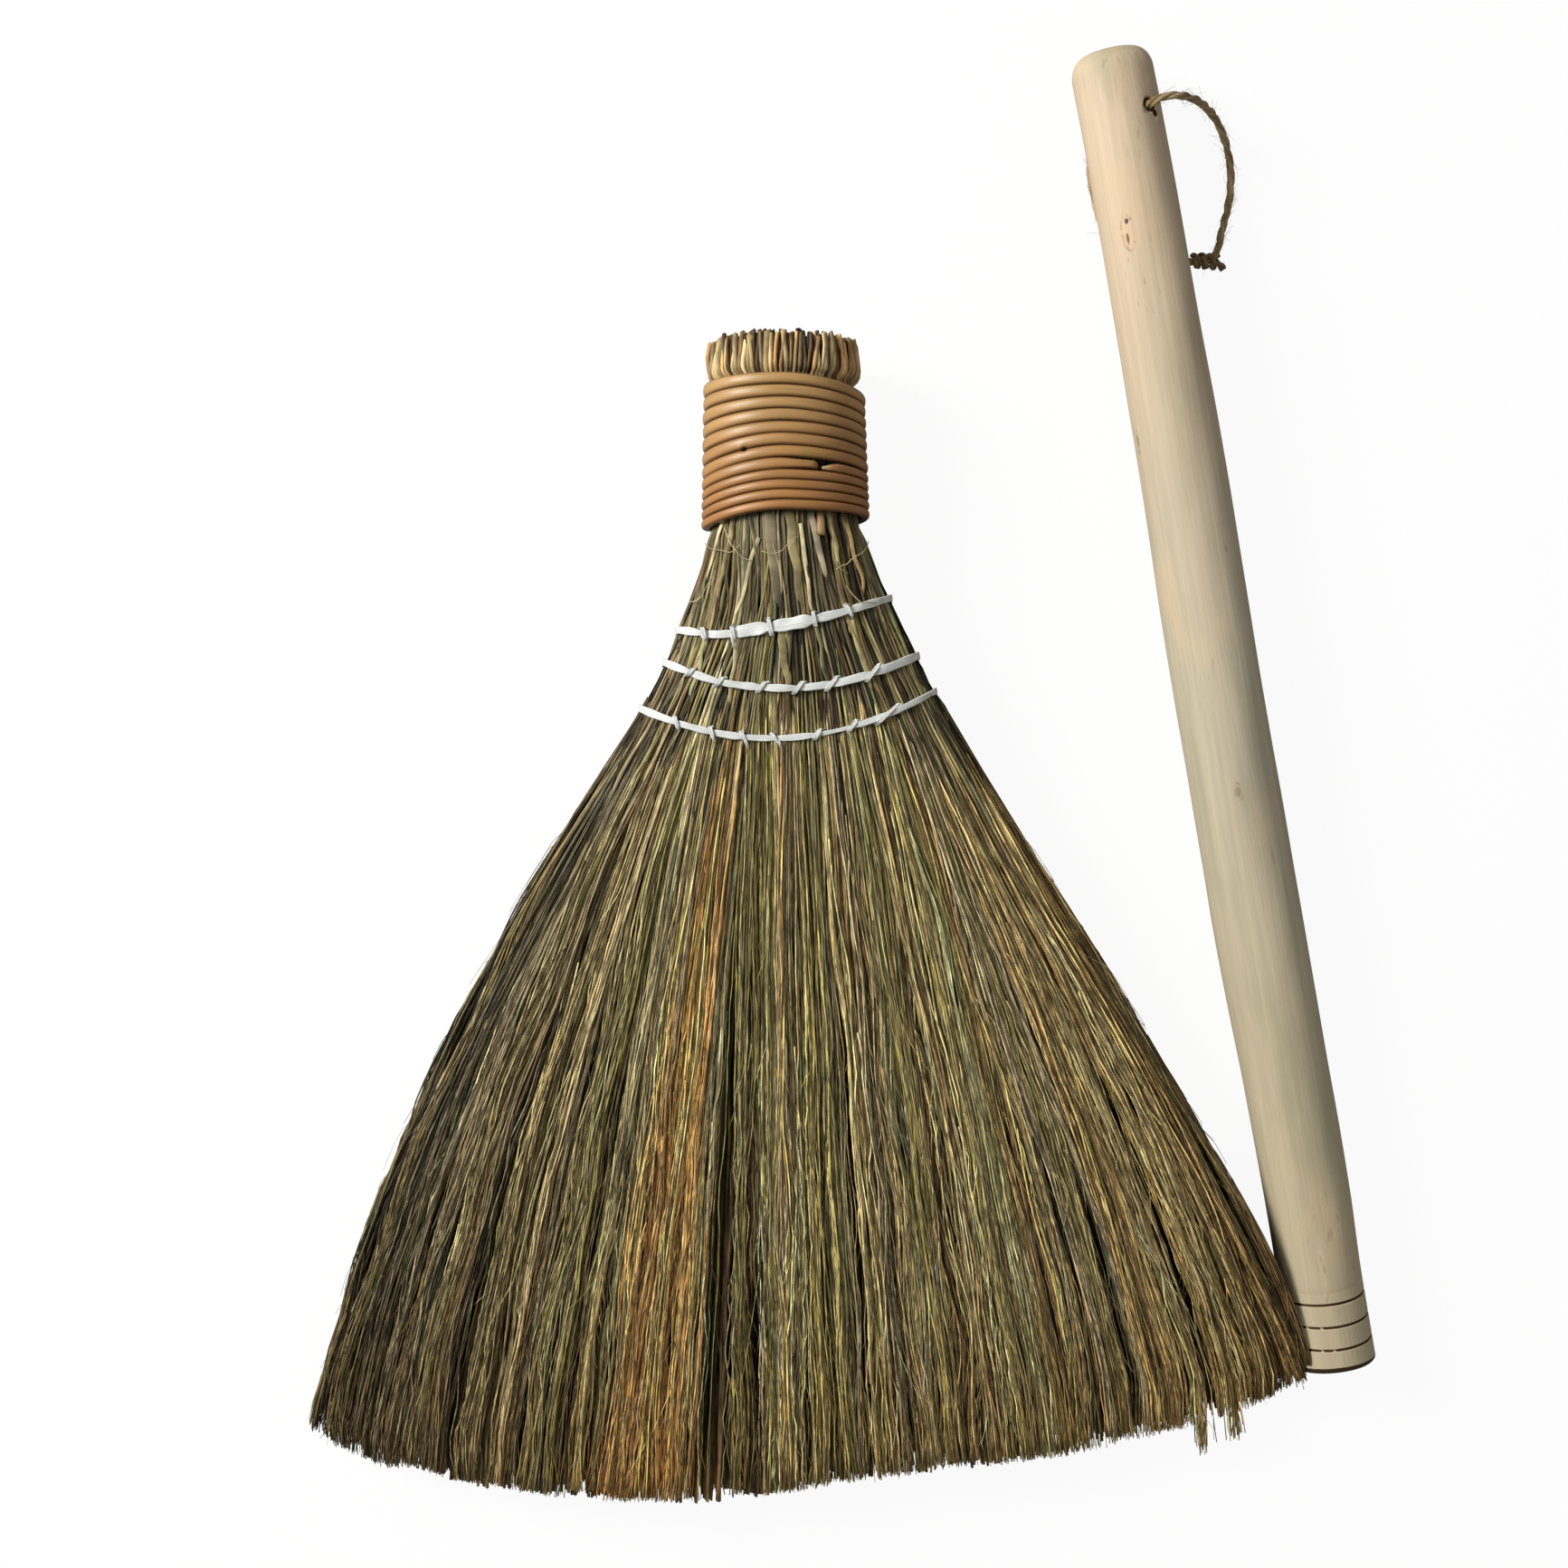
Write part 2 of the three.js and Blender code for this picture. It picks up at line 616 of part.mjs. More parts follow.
const stickAxis = stickTop.clone().sub(stickFoot).normalize();
const holeLean = THREE.MathUtils.degToRad(cordHole.lean);
const drill = new THREE.CylinderGeometry(cordHole.radius, cordHole.radius, 4 * plugRadius, cordHole.sides);
drill.rotateX(Math.PI / 2).rotateY(holeLean).translate(0, cordHole.fromFoot, 0);
const turned = toSolid(shareVertices(new THREE.LatheGeometry(stickProfile(), stickSides)));
const drilled = turned.subtract(toSolid(shareVertices(drill)));
const stickMesh = addPiece(stick, 'handle', toGeometry(drilled), finishes.wood);
stickMesh.position.copy(stickFoot);
stickMesh.quaternion.setFromUnitVectors(point(0, 1, 0), stickAxis);

// Hanging cord

const holeAxis = point(Math.sin(holeLean), 0, Math.cos(holeLean)).applyQuaternion(stickMesh.quaternion);
const holeMiddle = stickFoot.clone().addScaledVector(stickAxis, cordHole.fromFoot);
const throughHole = cordInHole.map((along) => holeMiddle.clone().addScaledVector(holeAxis, along));
const fromList = (route) => route.map(([x, y, z]) => point(x, y, z));
const cordRoute = new THREE.CatmullRomCurve3([
  ...fromList(cordBeforeHole),
  ...throughHole,
  ...fromList(cordBehindStick),
]);
const cordSection = new THREE.Shape(
  Array.from({ length: cordSides }, (_, side) => {
    const angle = (2 * Math.PI * side) / cordSides;
    return new THREE.Vector2(Math.cos(angle), Math.sin(angle)).multiplyScalar(cordDiameter / 2);
  }),
);
const cordTube = new THREE.ExtrudeGeometry(cordSection, { steps: cordSteps, extrudePath: cordRoute });
addPiece(cordLoop, 'hanging_cord', cordTube, finishes.twine);
console.log(`hanging cord: ${cordRoute.getLength().toFixed(0)} mm from knot to knot`);

// A barrel of three wrapped turns with a waist between each two
function knotProfile() {
  const { length, radius, endRadius, waist } = knot;
  const radii = [endRadius, radius, waist, radius, waist, radius, endRadius];
  const wraps = radii.map((across, i) => new THREE.Vector2(across, (i / (radii.length - 1)) * length));
  return [new THREE.Vector2(0, 0), ...wraps, new THREE.Vector2(0, length)];
}

const knotBarrel = new THREE.LatheGeometry(knotProfile(), knot.sides);
const knotMesh = addPiece(cordLoop, 'cord_knot', knotBarrel, finishes.twine);
knotMesh.rotation.z = -Math.PI / 2;
knotMesh.position.set(knot.x - knot.length / 2, knot.y, knot.z);

// The origin: on the surface, under the middle of the head and the stick
broom.add(head, stick);
const extent = new THREE.Box3().setFromObject(broom, true);
const middle = extent.getCenter(new THREE.Vector3());
broom.add(cordLoop);
broom.position.set(-middle.x, -middle.y, -extent.min.z);

export default broom;
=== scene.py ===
import math

import bpy
import numpy as np
from mathutils import Matrix, Vector


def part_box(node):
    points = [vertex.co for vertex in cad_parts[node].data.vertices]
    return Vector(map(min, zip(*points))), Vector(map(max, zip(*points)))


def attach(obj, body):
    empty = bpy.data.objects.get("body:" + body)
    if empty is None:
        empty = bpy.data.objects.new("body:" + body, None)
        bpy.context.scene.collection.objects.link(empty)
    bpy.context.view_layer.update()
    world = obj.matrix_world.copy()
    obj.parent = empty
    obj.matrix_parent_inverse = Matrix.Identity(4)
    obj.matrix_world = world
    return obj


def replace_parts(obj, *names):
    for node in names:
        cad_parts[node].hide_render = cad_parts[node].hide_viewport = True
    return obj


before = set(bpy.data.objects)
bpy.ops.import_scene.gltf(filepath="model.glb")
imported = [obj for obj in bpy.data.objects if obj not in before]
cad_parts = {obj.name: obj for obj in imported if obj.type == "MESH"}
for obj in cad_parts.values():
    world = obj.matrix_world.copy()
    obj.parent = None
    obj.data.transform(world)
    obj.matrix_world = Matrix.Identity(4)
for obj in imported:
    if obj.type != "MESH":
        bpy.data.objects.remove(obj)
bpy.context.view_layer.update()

# Lengths are millimetres on a plan: X 0 in the middle of the neck, Y 129 at the cut butts, Z 0 on the floor
mm = 0.001
buttY = 129.0
neckNodes = sorted(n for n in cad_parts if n.startswith("neck_bunch"))
shoulderNodes = sorted(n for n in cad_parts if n.startswith("shoulder_bunch"))
neckCorners = np.array([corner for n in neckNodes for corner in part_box(n)])
neckSides = neckCorners[:, 0].min(), neckCorners[:, 0].max()
planOrigin = np.array([sum(neckSides) / 2, neckCorners[:, 1].max() - buttY * mm, 0.0])


def toFrame(points):
    return np.asarray(points, float) * mm + planOrigin


def linear(red, green, blue):  # a colour as a screen shows it, 0 to 255, for the shaders
    share = np.array([red, green, blue], float) / 255
    return np.where(share <= 0.04045, share / 12.92, ((share + 0.055) / 1.055) ** 2.4)


def unit(vectors):
    return vectors / np.linalg.norm(vectors, axis=-1, keepdims=True)


def ease(value, start, end):  # 0 at start, 1 at end, soft at both
    share = np.clip((value - start) / (end - start), 0, 1)
    return share * share * (3 - 2 * share)


def mix(a, b, share):
    return a + (b - a) * share


def bell(value, power=2):  # 1 at 0, falling away on both sides
    return np.exp(-(value**power))


def xyz(x, y, z):
    return np.stack(np.broadcast_arrays(x, y, z), axis=-1)


# Curves and tubes

curveSteps = 16  # between two points of a smooth line
anySide = (0.31, 0.17, 0.93)  # a direction that no line here runs in
rateSpread = (0.7, 1.3)


def smoothLine(points, spacing):  # one smooth curve through the points, in even steps
    points = np.asarray(points, float)
    before = np.vstack([2 * points[0] - points[1], points[:-1]])
    after = np.vstack([points[1:], 2 * points[-1] - points[-2]])
    slope = (after - before) / 2
    t = np.linspace(0, 1, curveSteps, endpoint=False)[:, None]
    runs = []
    for i in range(len(points) - 1):
        start = (2 * t**3 - 3 * t**2 + 1) * points[i] + (t**3 - 2 * t**2 + t) * slope[i]
        end = (3 * t**2 - 2 * t**3) * points[i + 1] + (t**3 - t**2) * slope[i + 1]
        runs.append(start + end)
    dense = np.vstack([*runs, points[-1:]])
    gone = lengthsAlong(dense)
    steps = max(int(round(gone[-1] / spacing)), 2)
    return placesAt(np.linspace(0, gone[-1], steps + 1), gone, dense)


def lengthsAlong(line):
    return np.concatenate([[0], np.cumsum(np.linalg.norm(np.diff(line, axis=0), axis=1))])


def placesAt(at, gone, line):  # places at lengths along a line, its own points being at the lengths gone
    return np.stack([np.interp(at, gone, column) for column in line.T], axis=1)


def carryFrame(line):  # two directions square to a line, carried along it without twist
    ahead = unit(np.gradient(line, axis=0))
    side = np.zeros_like(line)
    side[0] = unit(np.cross(ahead[0], anySide))
    for i in range(1, len(line)):
        side[i] = unit(side[i - 1] - ahead[i] * np.dot(side[i - 1], ahead[i]))
    return side, np.cross(side, ahead)


def skin(points, closed):  # quads and end caps over rings, points as (tube, ring, corner, xyz)
    count, steps, sides, _ = points.shape
    index = np.arange(count * steps * sides).reshape(count, steps, sides)
    rings = np.concatenate([index, index[:, :1]], axis=1) if closed else index
    turned = np.roll(rings, -1, axis=2)
    quads = np.stack([rings[:, :-1], rings[:, 1:], turned[:, 1:], turned[:, :-1]], axis=-1)
    caps = np.zeros((0, sides), int) if closed else np.concatenate([index[:, 0], index[:, -1, ::-1]])
    return quads.reshape(-1, 4), caps


def tubes(lines, radii, sides, spin=0.0, up=(0.0, 0.0, 1.0)):
    ahead = unit(np.gradient(lines, axis=1))
    side = unit(np.cross(ahead, np.asarray(up, float)))
    lift = np.cross(side, ahead)
    angles = np.broadcast_to(spin, len(lines))[:, None] + np.arange(sides) * 2 * np.pi / sides
    across = np.cos(angles)[:, None, :, None] * side[:, :, None]
    above = np.sin(angles)[:, None, :, None] * lift[:, :, None]
    return lines[:, :, None] + radii[:, :, None, None] * (across + above)


def sweep(centres, outward, halfWidth, halfHeight, section):  # a flat section carried along a route
    ahead = unit(np.gradient(centres, axis=0))
    side = unit(np.cross(ahead, outward))
    lift = np.cross(side, ahead)
    across = section[:, 0][None, :, None] * (halfWidth[:, None, None] * side[:, None])
    above = section[:, 1][None, :, None] * (halfHeight[:, None, None] * lift[:, None])
    return (centres[:, None] + across + above)[None]


def wobble(dice, count, at, waves, reach):  # smooth random sway of each of count lines, at places along it
    total = np.zeros((count, len(at)))
    for wave in waves:
        phase = dice.uniform(0, 2 * np.pi, (count, 1))
        rate = wave * dice.uniform(*rateSpread, (count, 1))
        total += np.sin(2 * np.pi * rate * at[None] + phase) * dice.normal(0, 1, (count, 1))
    return total * reach / math.sqrt(len(waves))


def wobbleOne(dice, at, waves, reach):
    return wobble(dice, 1, at, waves, reach)[0]


# Pieces

def addPiece(name, rings, finish, body, values=None, matrix=None, closed=False, lowest=None):
    rings = rings if isinstance(rings, list) else [rings]
    points = np.vstack([some.reshape(-1, 3) for some in rings])
    if lowest is not None:
        points[:, 2] = np.maximum(points[:, 2], lowest)
    firsts = np.cumsum([0, *(some[..., 0].size for some in rings)])
    skins = [skin(some, closed) for some in rings]
    quads = np.vstack([own + first for (own, _), first in zip(skins, firsts)])
    caps = np.vstack([own + first for (_, own), first in zip(skins, firsts)])
    corners = np.concatenate([quads.ravel(), caps.ravel()]).astype(np.int32)
    starts = np.arange(len(quads)) * 4
    capStarts = len(quads) * 4 + np.arange(len(caps)) * caps.shape[1]
    mesh = bpy.data.meshes.new(name)
    mesh.vertices.add(len(points))
    mesh.vertices.foreach_set("co", (toFrame(points) if matrix is None else points * mm).ravel())
    mesh.loops.add(len(corners))
    mesh.loops.foreach_set("vertex_index", corners)
    mesh.polygons.add(len(starts) + len(capStarts))
    mesh.polygons.foreach_set("loop_start", np.concatenate([starts, capStarts]).astype(np.int32))
    smooth = np.concatenate([np.ones(len(starts), bool), np.zeros(len(capStarts), bool)])
    mesh.polygons.foreach_set("use_smooth", smooth)
    for key, value in (values or {}).items():
        setAttribute(mesh, key, value)
    mesh.update(calc_edges=True)
    mesh.validate()
    mesh.materials.append(finish)
    piece = bpy.data.objects.new(name, mesh)
    bpy.context.scene.collection.objects.link(piece)
    if matrix is not None:
        piece.matrix_world = matrix
    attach(piece, body)
    print(f"{name}: {len(points)} points")
    return piece


def setAttribute(mesh, name, value):
    value = np.asarray(value, np.float32)
    if value.ndim == 1:
        mesh.attributes.new(name, "FLOAT", "POINT").data.foreach_set("value", value)
    else:
        solid = np.concatenate([value, np.ones((len(value), 1), np.float32)], axis=1)
        mesh.attributes.new(name, "FLOAT_COLOR", "POINT").data.foreach_set("color", solid.ravel())


def tubeValues(tint, lengths, sides, marks):  # each corner's colour, and its length, turn and tube's number
    tint = np.broadcast_to(tint, (*lengths.shape, 3))
    along = np.repeat(lengths[:, :, None], sides, axis=2)
    run = xyz(along, np.arange(sides) / sides, np.asarray(marks, float)[:, None, None])
    return dict(tint=np.repeat(tint[:, :, None], sides, axis=2).reshape(-1, 3), run=run.reshape(-1, 3))


def ribbonRun(gone, section, mark):  # each corner's length along, its place across and a number
    return xyz(gone[:, None], section[:, 0], float(mark)).reshape(-1, 3)


def addTubes(name, lines, radii, tint, lengths, look, finish, body, spin=0.0, up=(0.0, 0.0, 1.0)):
    points = tubes(lines, radii, look["sides"], spin, up)
    values = tubeValues(tint, lengths, look["sides"], np.arange(len(lines)))
    return addPiece(name, points, finish, body, values, lowest=look["lowest"])


# Shader nodes

noiseRange = (0.25, 0.75)  # where most of a noise's values lie


def addNode(finish, kind, sockets=None, **settings):
    node = finish.node_tree.nodes.new("ShaderNode" + kind)
    for key, value in settings.items():
        setattr(node, key, value)
    for key, value in (sockets or {}).items():
        plug(finish, value, node.inputs[key])
    return node


def plug(finish, value, socket):
    if isinstance(value, bpy.types.NodeSocket):
        finish.node_tree.links.new(value, socket)
    else:
        socket.default_value = value


def newFinish(name, roughness, specular):
    finish = bpy.data.materials.new(name)
    finish.use_nodes = True
    shader = finish.node_tree.nodes["Principled BSDF"]
    shader.inputs["Roughness"].default_value = roughness
    shader.inputs["Specular IOR Level"].default_value = specular
    return finish, shader


def attribute(finish, name, output="Color"):
    return addNode(finish, "Attribute", attribute_name=name).outputs[output]


def sums(finish, operation, a, b=0.0):
    return addNode(finish, "Math", {0: a, 1: b}, operation=operation).outputs[0]


def product(finish, a, b):
    return sums(finish, "MULTIPLY", a, b)


def roughened(finish, value, rough, reach):  # a value moved up and down by a noise
    return sums(finish, "ADD", value, product(finish, sums(finish, "SUBTRACT", rough, 0.5), reach))


def vectors(finish, operation, a, b=(0, 0, 0)):
    node = addNode(finish, "VectorMath", {0: a, 1: b}, operation=operation)
    return node.outputs["Value" if operation == "LENGTH" else "Vector"]


def scaled(finish, vector, scale):
    return addNode(finish, "Mapping", {"Vector": vector, "Scale": scale}).outputs[0]


def noise(finish, vector, scale, detail=3.0, roughness=0.55):
    sockets = {"Vector": vector, "Scale": scale, "Detail": detail, "Roughness": roughness}
    return addNode(finish, "TexNoise", sockets).outputs[0]


def grained(finish, vector, scale, detail=3.0, roughness=0.55):  # noise with a scale for each axis
    return noise(finish, scaled(finish, vector, scale), 1.0, detail, roughness)


def span(finish, value, low, high, toLow=0.0, toHigh=1.0):
    sockets = {"Value": value, 1: low, 2: high, 3: toLow, 4: toHigh}
    return addNode(finish, "MapRange", sockets, interpolation_type="SMOOTHSTEP").outputs[0]


def blend(finish, share, a, b, how="MIX"):
    sockets = {0: share, 6: rgba(a), 7: rgba(b)}
    return addNode(finish, "Mix", sockets, data_type="RGBA", blend_type=how).outputs[2]


def rgba(colour):
    return colour if isinstance(colour, bpy.types.NodeSocket) else (*colour, 1.0)


def toned(finish, colour, value, low, high):  # a colour darkened and lightened by a noise
    start, end = noiseRange
    factor = addNode(finish, "MapRange", {"Value": value, 1: start, 2: end, 3: low, 4: high}).outputs[0]
    grey = addNode(finish, "CombineColor", {0: factor, 1: factor, 2: factor}).outputs[0]
    return blend(finish, 1.0, colour, grey, "MULTIPLY")


def bump(finish, shader, height, distance, strength=1.0):
    sockets = {"Height": height, "Distance": distance, "Strength": strength}
    plug(finish, addNode(finish, "Bump", sockets).outputs[0], shader.inputs["Normal"])


# Camera, floor and light

view = dict(height=480.0, lens=36.04, sensor=36.0)
light = dict(
    world=0.25,
    keyPower=14.0, keySize=0.45, keyPlace=(-0.85, 0.42, 0.62),
    fillPower=0.2, fillSize=0.9, fillPlace=(0.7, -0.3, 0.8),
)
floorLook = dict(
    size=6.0, height=-0.0002, colour=linear(160, 160, 158), shown=0.77, white=1.21, fades=(0.55, 1.5),
)


def setStage():
    scene = bpy.context.scene
    scene.view_settings.view_transform = "Standard"
    cameraData = bpy.data.cameras.new("camera")
    cameraData.lens = view["lens"]
    cameraData.sensor_width = view["sensor"]
    camera = bpy.data.objects.new("camera", cameraData)
    camera.location = toFrame([0, 0, view["height"]])  # straight down, the neck at the top
    scene.collection.objects.link(camera)
    scene.camera = camera
    for name in ("key", "fill"):
        lampData = bpy.data.lights.new(name, "AREA")
        lampData.energy = light[name + "Power"]
        lampData.size = light[name + "Size"]
        lamp = bpy.data.objects.new(name, lampData)
        lamp.location = light[name + "Place"]
        lamp.rotation_mode = "QUATERNION"
        lamp.rotation_quaternion = (-lamp.location).to_track_quat("-Z", "Y")
        scene.collection.objects.link(lamp)
    # the world is white to the camera and dimmer as a light
    world = bpy.data.worlds.new("studio")
    scene.world = world
    world.use_nodes = True
    background = world.node_tree.nodes["Background"]
    path = addNode(world, "LightPath").outputs["Is Camera Ray"]
    bright = addNode(world, "MapRange", {"Value": path, 3: light["world"]}).outputs[0]
    plug(world, bright, background.inputs["Strength"])
    plug(world, (1, 1, 1, 1), background.inputs["Color"])


def layFloor():
    bpy.ops.mesh.primitive_plane_add(size=floorLook["size"], location=(0, 0, floorLook["height"]))
    floor = bpy.context.object
    floor.name = "floor"
    finish, shader = newFinish("pale_floor", 0.9, 0.0)
    plug(finish, rgba(floorLook["colour"]), shader.inputs["Base Color"])
    # to the camera it is whiter than the light alone would make it, more so near the middle
    away = vectors(finish, "LENGTH", addNode(finish, "TexCoord").outputs["Object"])
    share = span(finish, away, *floorLook["fades"], floorLook["shown"], 1.0)
    shown = product(finish, addNode(finish, "LightPath").outputs["Is Camera Ray"], share)
    glow = span(finish, away, *floorLook["fades"], floorLook["white"], 1.0)
    white = addNode(finish, "Emission", {"Strength": glow})
    both = addNode(finish, "MixShader", {0: shown, 1: shader.outputs[0], 2: white.outputs[0]})
    plug(finish, both.outputs[0], finish.node_tree.nodes["Material Output"].inputs["Surface"])
    floor.data.materials.append(finish)


setStage()
layFloor()
print("stage set")


# Stick, in its own frame: Y runs up its axis from the foot, Z is up

stick = dict(
    foot=(164.4, -174.9, 12.1), top=(95.7, 218.2, 16.6), sides=88, seed=5,
    faceRadius=9.3, faceRings=(0.02, 3.5, 7.0), plugRadius=12.0, rim=2.6, rimSteps=8, plainTo=28.0,
    belly=[(-10, 12), (23, 12), (42, 12.1), (91, 12.35), (141, 13.1), (198, 12.85), (250, 12.4),
           (345, 12.15), (378, 11.9), (392, 11.75), (410, 11.7)],
    fineStep=0.15, bodyStep=2.2, dome=7.5, domeFlat=6.4, domeSteps=13, domePower=0.9,
    topSlant=0.18, topSlantOver=30.0, footSlant=0.16, footSlantOver=9.0,
    grooveFirst=10.9, grooveSpacing=6.7, grooveCount=3, grooveHalf=0.5, grooveFlat=0.35, grooveDepth=0.6,
    grooveBreaks={0: (101, 118), 1: (114, 135), 2: (133,)}, breakHalf=2.4, breakFlat=0.4, grooveRim=0.5,
    holeAt=376.0, holeRadius=2.2, holeLean=30.0, holeSides=24, pit=(1.9, -2.4, 1.05), pitDepth=2.6,
    # never quite round or straight: lobes around, waves along and reach, from where on, and the sway
    lobes=((2, 2.3, 0.14), (3, 4.1, 0.09), (4, 7.0, 0.06), (6, 13.0, 0.035)), evenTo=(-3.0, 25.0),
    evenRadius=(4.0, 10.0), sway=0.45, swayRate=3.0, swayStart=0.6,
    # the wood swells round the larger knots
    swell=0.2, swellAcross=3.2, swellAlong=6.5, swellRadius=12.5, swellFrom=2.0,
    # where the painted shade on the foot's rounded rim lies, along and out from the axis, and where the cut
    # ends' rings show
    footRimShadeAlong=(2.0, 4.2), footRimShadeRadius=(9.1, 10.3), cutRadius=(7.6, 9.2),
)
wood = dict(
    low=linear(206, 191, 157), middle=linear(205, 193, 165), top=linear(220, 197, 165),
    stain=linear(176, 170, 138), warm=linear(232, 200, 160), scratch=linear(120, 98, 66),
    # on the next line, the last two colours are painted shade: on the foot's rounded rim, and inside the
    # cord's hole and the pit
    ring=linear(162, 132, 92), groove=linear(78, 52, 22), footRimShade=linear(66, 46, 22), hole=linear(92, 62, 36),
    # the noises' scales on the three axes, the tones they give, and from where to where others show
    grain=(420, 9, 420), grainTones=(0.86, 1.1), fibre=(2400, 40, 2400), fibreTones=(0.94, 1.05),
    stainGrain=(60, 16, 60), stainSpan=(0.52, 0.72, 0.0, 0.5),
    warmGrain=(45, 22, 45), warmSpan=(0.55, 0.75, 0.0, 0.4),
    scratchGrain=(900, 170, 900), scratchSpan=(0.64, 0.74), scratchShare=0.3,
    patchGrain=(50, 30, 50), patchSpan=(0.56, 0.68),
    pith=(0.0016, 0.0, -0.0011), ringRate=4600.0, ringSway=0.0016, ringSpan=(-0.2, 0.95, 0.0, 0.6),
    grooveSpan=(0.15, 0.6), footRimShadeSpan=(0.45, 0.75), footRimShadeRagged=0.7,
    knotDepth=0.85, knotGrain=(900, 420, 900), knotRagged=0.6, knotHeart=(0.8, 1.1),
    knotLine=(0.02, 0.22), knotBroken=(0.42, 0.6, 0.1, 1.0),
)
stickFoot = np.array(stick["foot"])
stickReach = np.array(stick["top"]) - stickFoot
stickLength = float(np.linalg.norm(stickReach))
stickAxis = stickReach / stickLength
stickTurn = Vector((0, 1, 0)).rotation_difference(Vector(stickAxis))
stickMatrix = Matrix.Translation(Vector(toFrame(stickFoot))) @ stickTurn.to_matrix().to_4x4()
holeLean = math.radians(stick["holeLean"])
holeAxis = np.array(stickTurn @ Vector((math.sin(holeLean), 0, math.cos(holeLean))))
holeMiddle = stickFoot + stickAxis * stick["holeAt"]


def stickRadius(along):
    belly = smoothLine(stick["belly"], 1.0)
    return np.interp(along, belly[:, 0], belly[:, 1])


def stickProfile():  # length along and radius, from the middle of the foot to the middle of the dome
    fine, flat, plugRadius = stick["fineStep"], stick["domeFlat"], stick["plugRadius"]
    face = [(0.0, r) for r in (*stick["faceRings"], stick["faceRadius"] - fine)]
    turn = np.linspace(0, np.pi / 2, stick["rimSteps"])
    wide = plugRadius - stick["faceRadius"]
    rim = zip(stick["rim"] * (1 - np.cos(turn)), stick["faceRadius"] + wide * np.sin(turn))
    plain = [(y, plugRadius) for y in np.arange(stick["rim"] + fine, stick["plainTo"], fine)]
    domeFrom = stickLength - stick["dome"]
    body = [(y, float(stickRadius(y))) for y in np.arange(stick["plainTo"], domeFrom, stick["bodyStep"])]
    bend = np.linspace(0, np.pi / 2, stick["domeSteps"])
    inset = float(stickRadius(domeFrom)) - flat
    rise = domeFrom + stick["dome"] * np.sin(bend) ** stick["domePower"] - fine
    dome = zip(rise, flat + inset * np.cos(bend))
    closing = np.arange(1, 5) / 4
    crown = zip(stickLength - fine + fine * closing, flat * (1 - closing) + stick["faceRings"][0])
    return np.array([*face, *rim, *plain, *body, *dome, *crown])


def turnsApart(turned, place):  # degrees between two turns, the shorter way round
    return np.abs((turned - place + 180) % 360 - 180)


def grooveDepths(along, turned):  # how deep each place lies in a turned groove, 0 to 1
    depth = np.zeros(np.broadcast(along, turned).shape)
    for k in range(stick["grooveCount"]):
        off = np.abs(along - stick["grooveFirst"] - k * stick["grooveSpacing"])
        cut = 1 - ease(off, stick["grooveHalf"] * stick["grooveFlat"], stick["grooveHalf"])
        for place in stick["grooveBreaks"].get(k, ()):
            apart = turnsApart(turned, place)
            cut = cut * ease(apart, stick["breakHalf"] * stick["breakFlat"], stick["breakHalf"])
        depth = np.maximum(depth, cut)
    return depth


def woodFinish():
    finish, shader = newFinish("debarked_wood", 0.62, 0.28)
    place = addNode(finish, "TexCoord").outputs["Object"]
    height = addNode(finish, "SeparateXYZ", {0: place}).outputs["Y"]
    height = span(finish, height, 0.0, stickLength * mm)
    colour = blend(finish, span(finish, height, 0.0, 0.5), wood["low"], wood["middle"])
    colour = blend(finish, span(finish, height, 0.5, 1.0), colour, wood["top"])
    # long pale and dark grain, then blotches, then fine fibres
    grain = grained(finish, place, wood["grain"], 5.0, 0.62)
    colour = toned(finish, colour, grain, *wood["grainTones"])
    stain = grained(finish, place, wood["stainGrain"], 4.0)
    colour = blend(finish, span(finish, stain, *wood["stainSpan"]), colour, wood["stain"])
    warm = noise(finish, scaled(finish, place, wood["warmGrain"]), 1.3, 2.0)
    colour = blend(finish, span(finish, warm, *wood["warmSpan"]), colour, wood["warm"])
    fibre = grained(finish, place, wood["fibre"], 2.0)
    colour = toned(finish, colour, fibre, *wood["fibreTones"])
    # short dark scratches, most of them in patches
    scratch = span(finish, grained(finish, place, wood["scratchGrain"], 2.0, 0.4), *wood["scratchSpan"])
    patch = span(finish, grained(finish, place, wood["patchGrain"], 1.0), *wood["patchSpan"])
    scratch = product(finish, product(finish, scratch, patch), wood["scratchShare"])
    colour = blend(finish, scratch, colour, wood["scratch"])
    for mark in stickKnots:
        colour = paintKnot(finish, place, colour, mark)
    # rings round the pith where the ends are cut
    flat = vectors(finish, "MULTIPLY", vectors(finish, "SUBTRACT", place, wood["pith"]), (1, 0, 1))
    sway = product(finish, noise(finish, place, 160.0, 2.0), wood["ringSway"])
    far = sums(finish, "ADD", vectors(finish, "LENGTH", flat), sway)
    ring = sums(finish, "SINE", product(finish, far, wood["ringRate"]))
    ring = product(finish, span(finish, ring, *wood["ringSpan"]), attribute(finish, "cut", "Fac"))
    colour = blend(finish, ring, colour, wood["ring"])
    groove = span(finish, attribute(finish, "groove", "Fac"), *wood["grooveSpan"])
    colour = blend(finish, groove, colour, wood["groove"])
    # painted shade on the foot's rounded rim, ragged with the grain
    footRimShade = roughened(finish, attribute(finish, "footRimShade", "Fac"), grain, wood["footRimShadeRagged"])
    colour = blend(finish, span(finish, footRimShade, *wood["footRimShadeSpan"]), colour, wood["footRimShade"])
    plug(finish, colour, shader.inputs["Base Color"])
    relief = sums(finish, "ADD", product(finish, grain, 0.7), product(finish, fibre, 0.5))
    bump(finish, shader, relief, 0.0004, 0.35)
    return finish


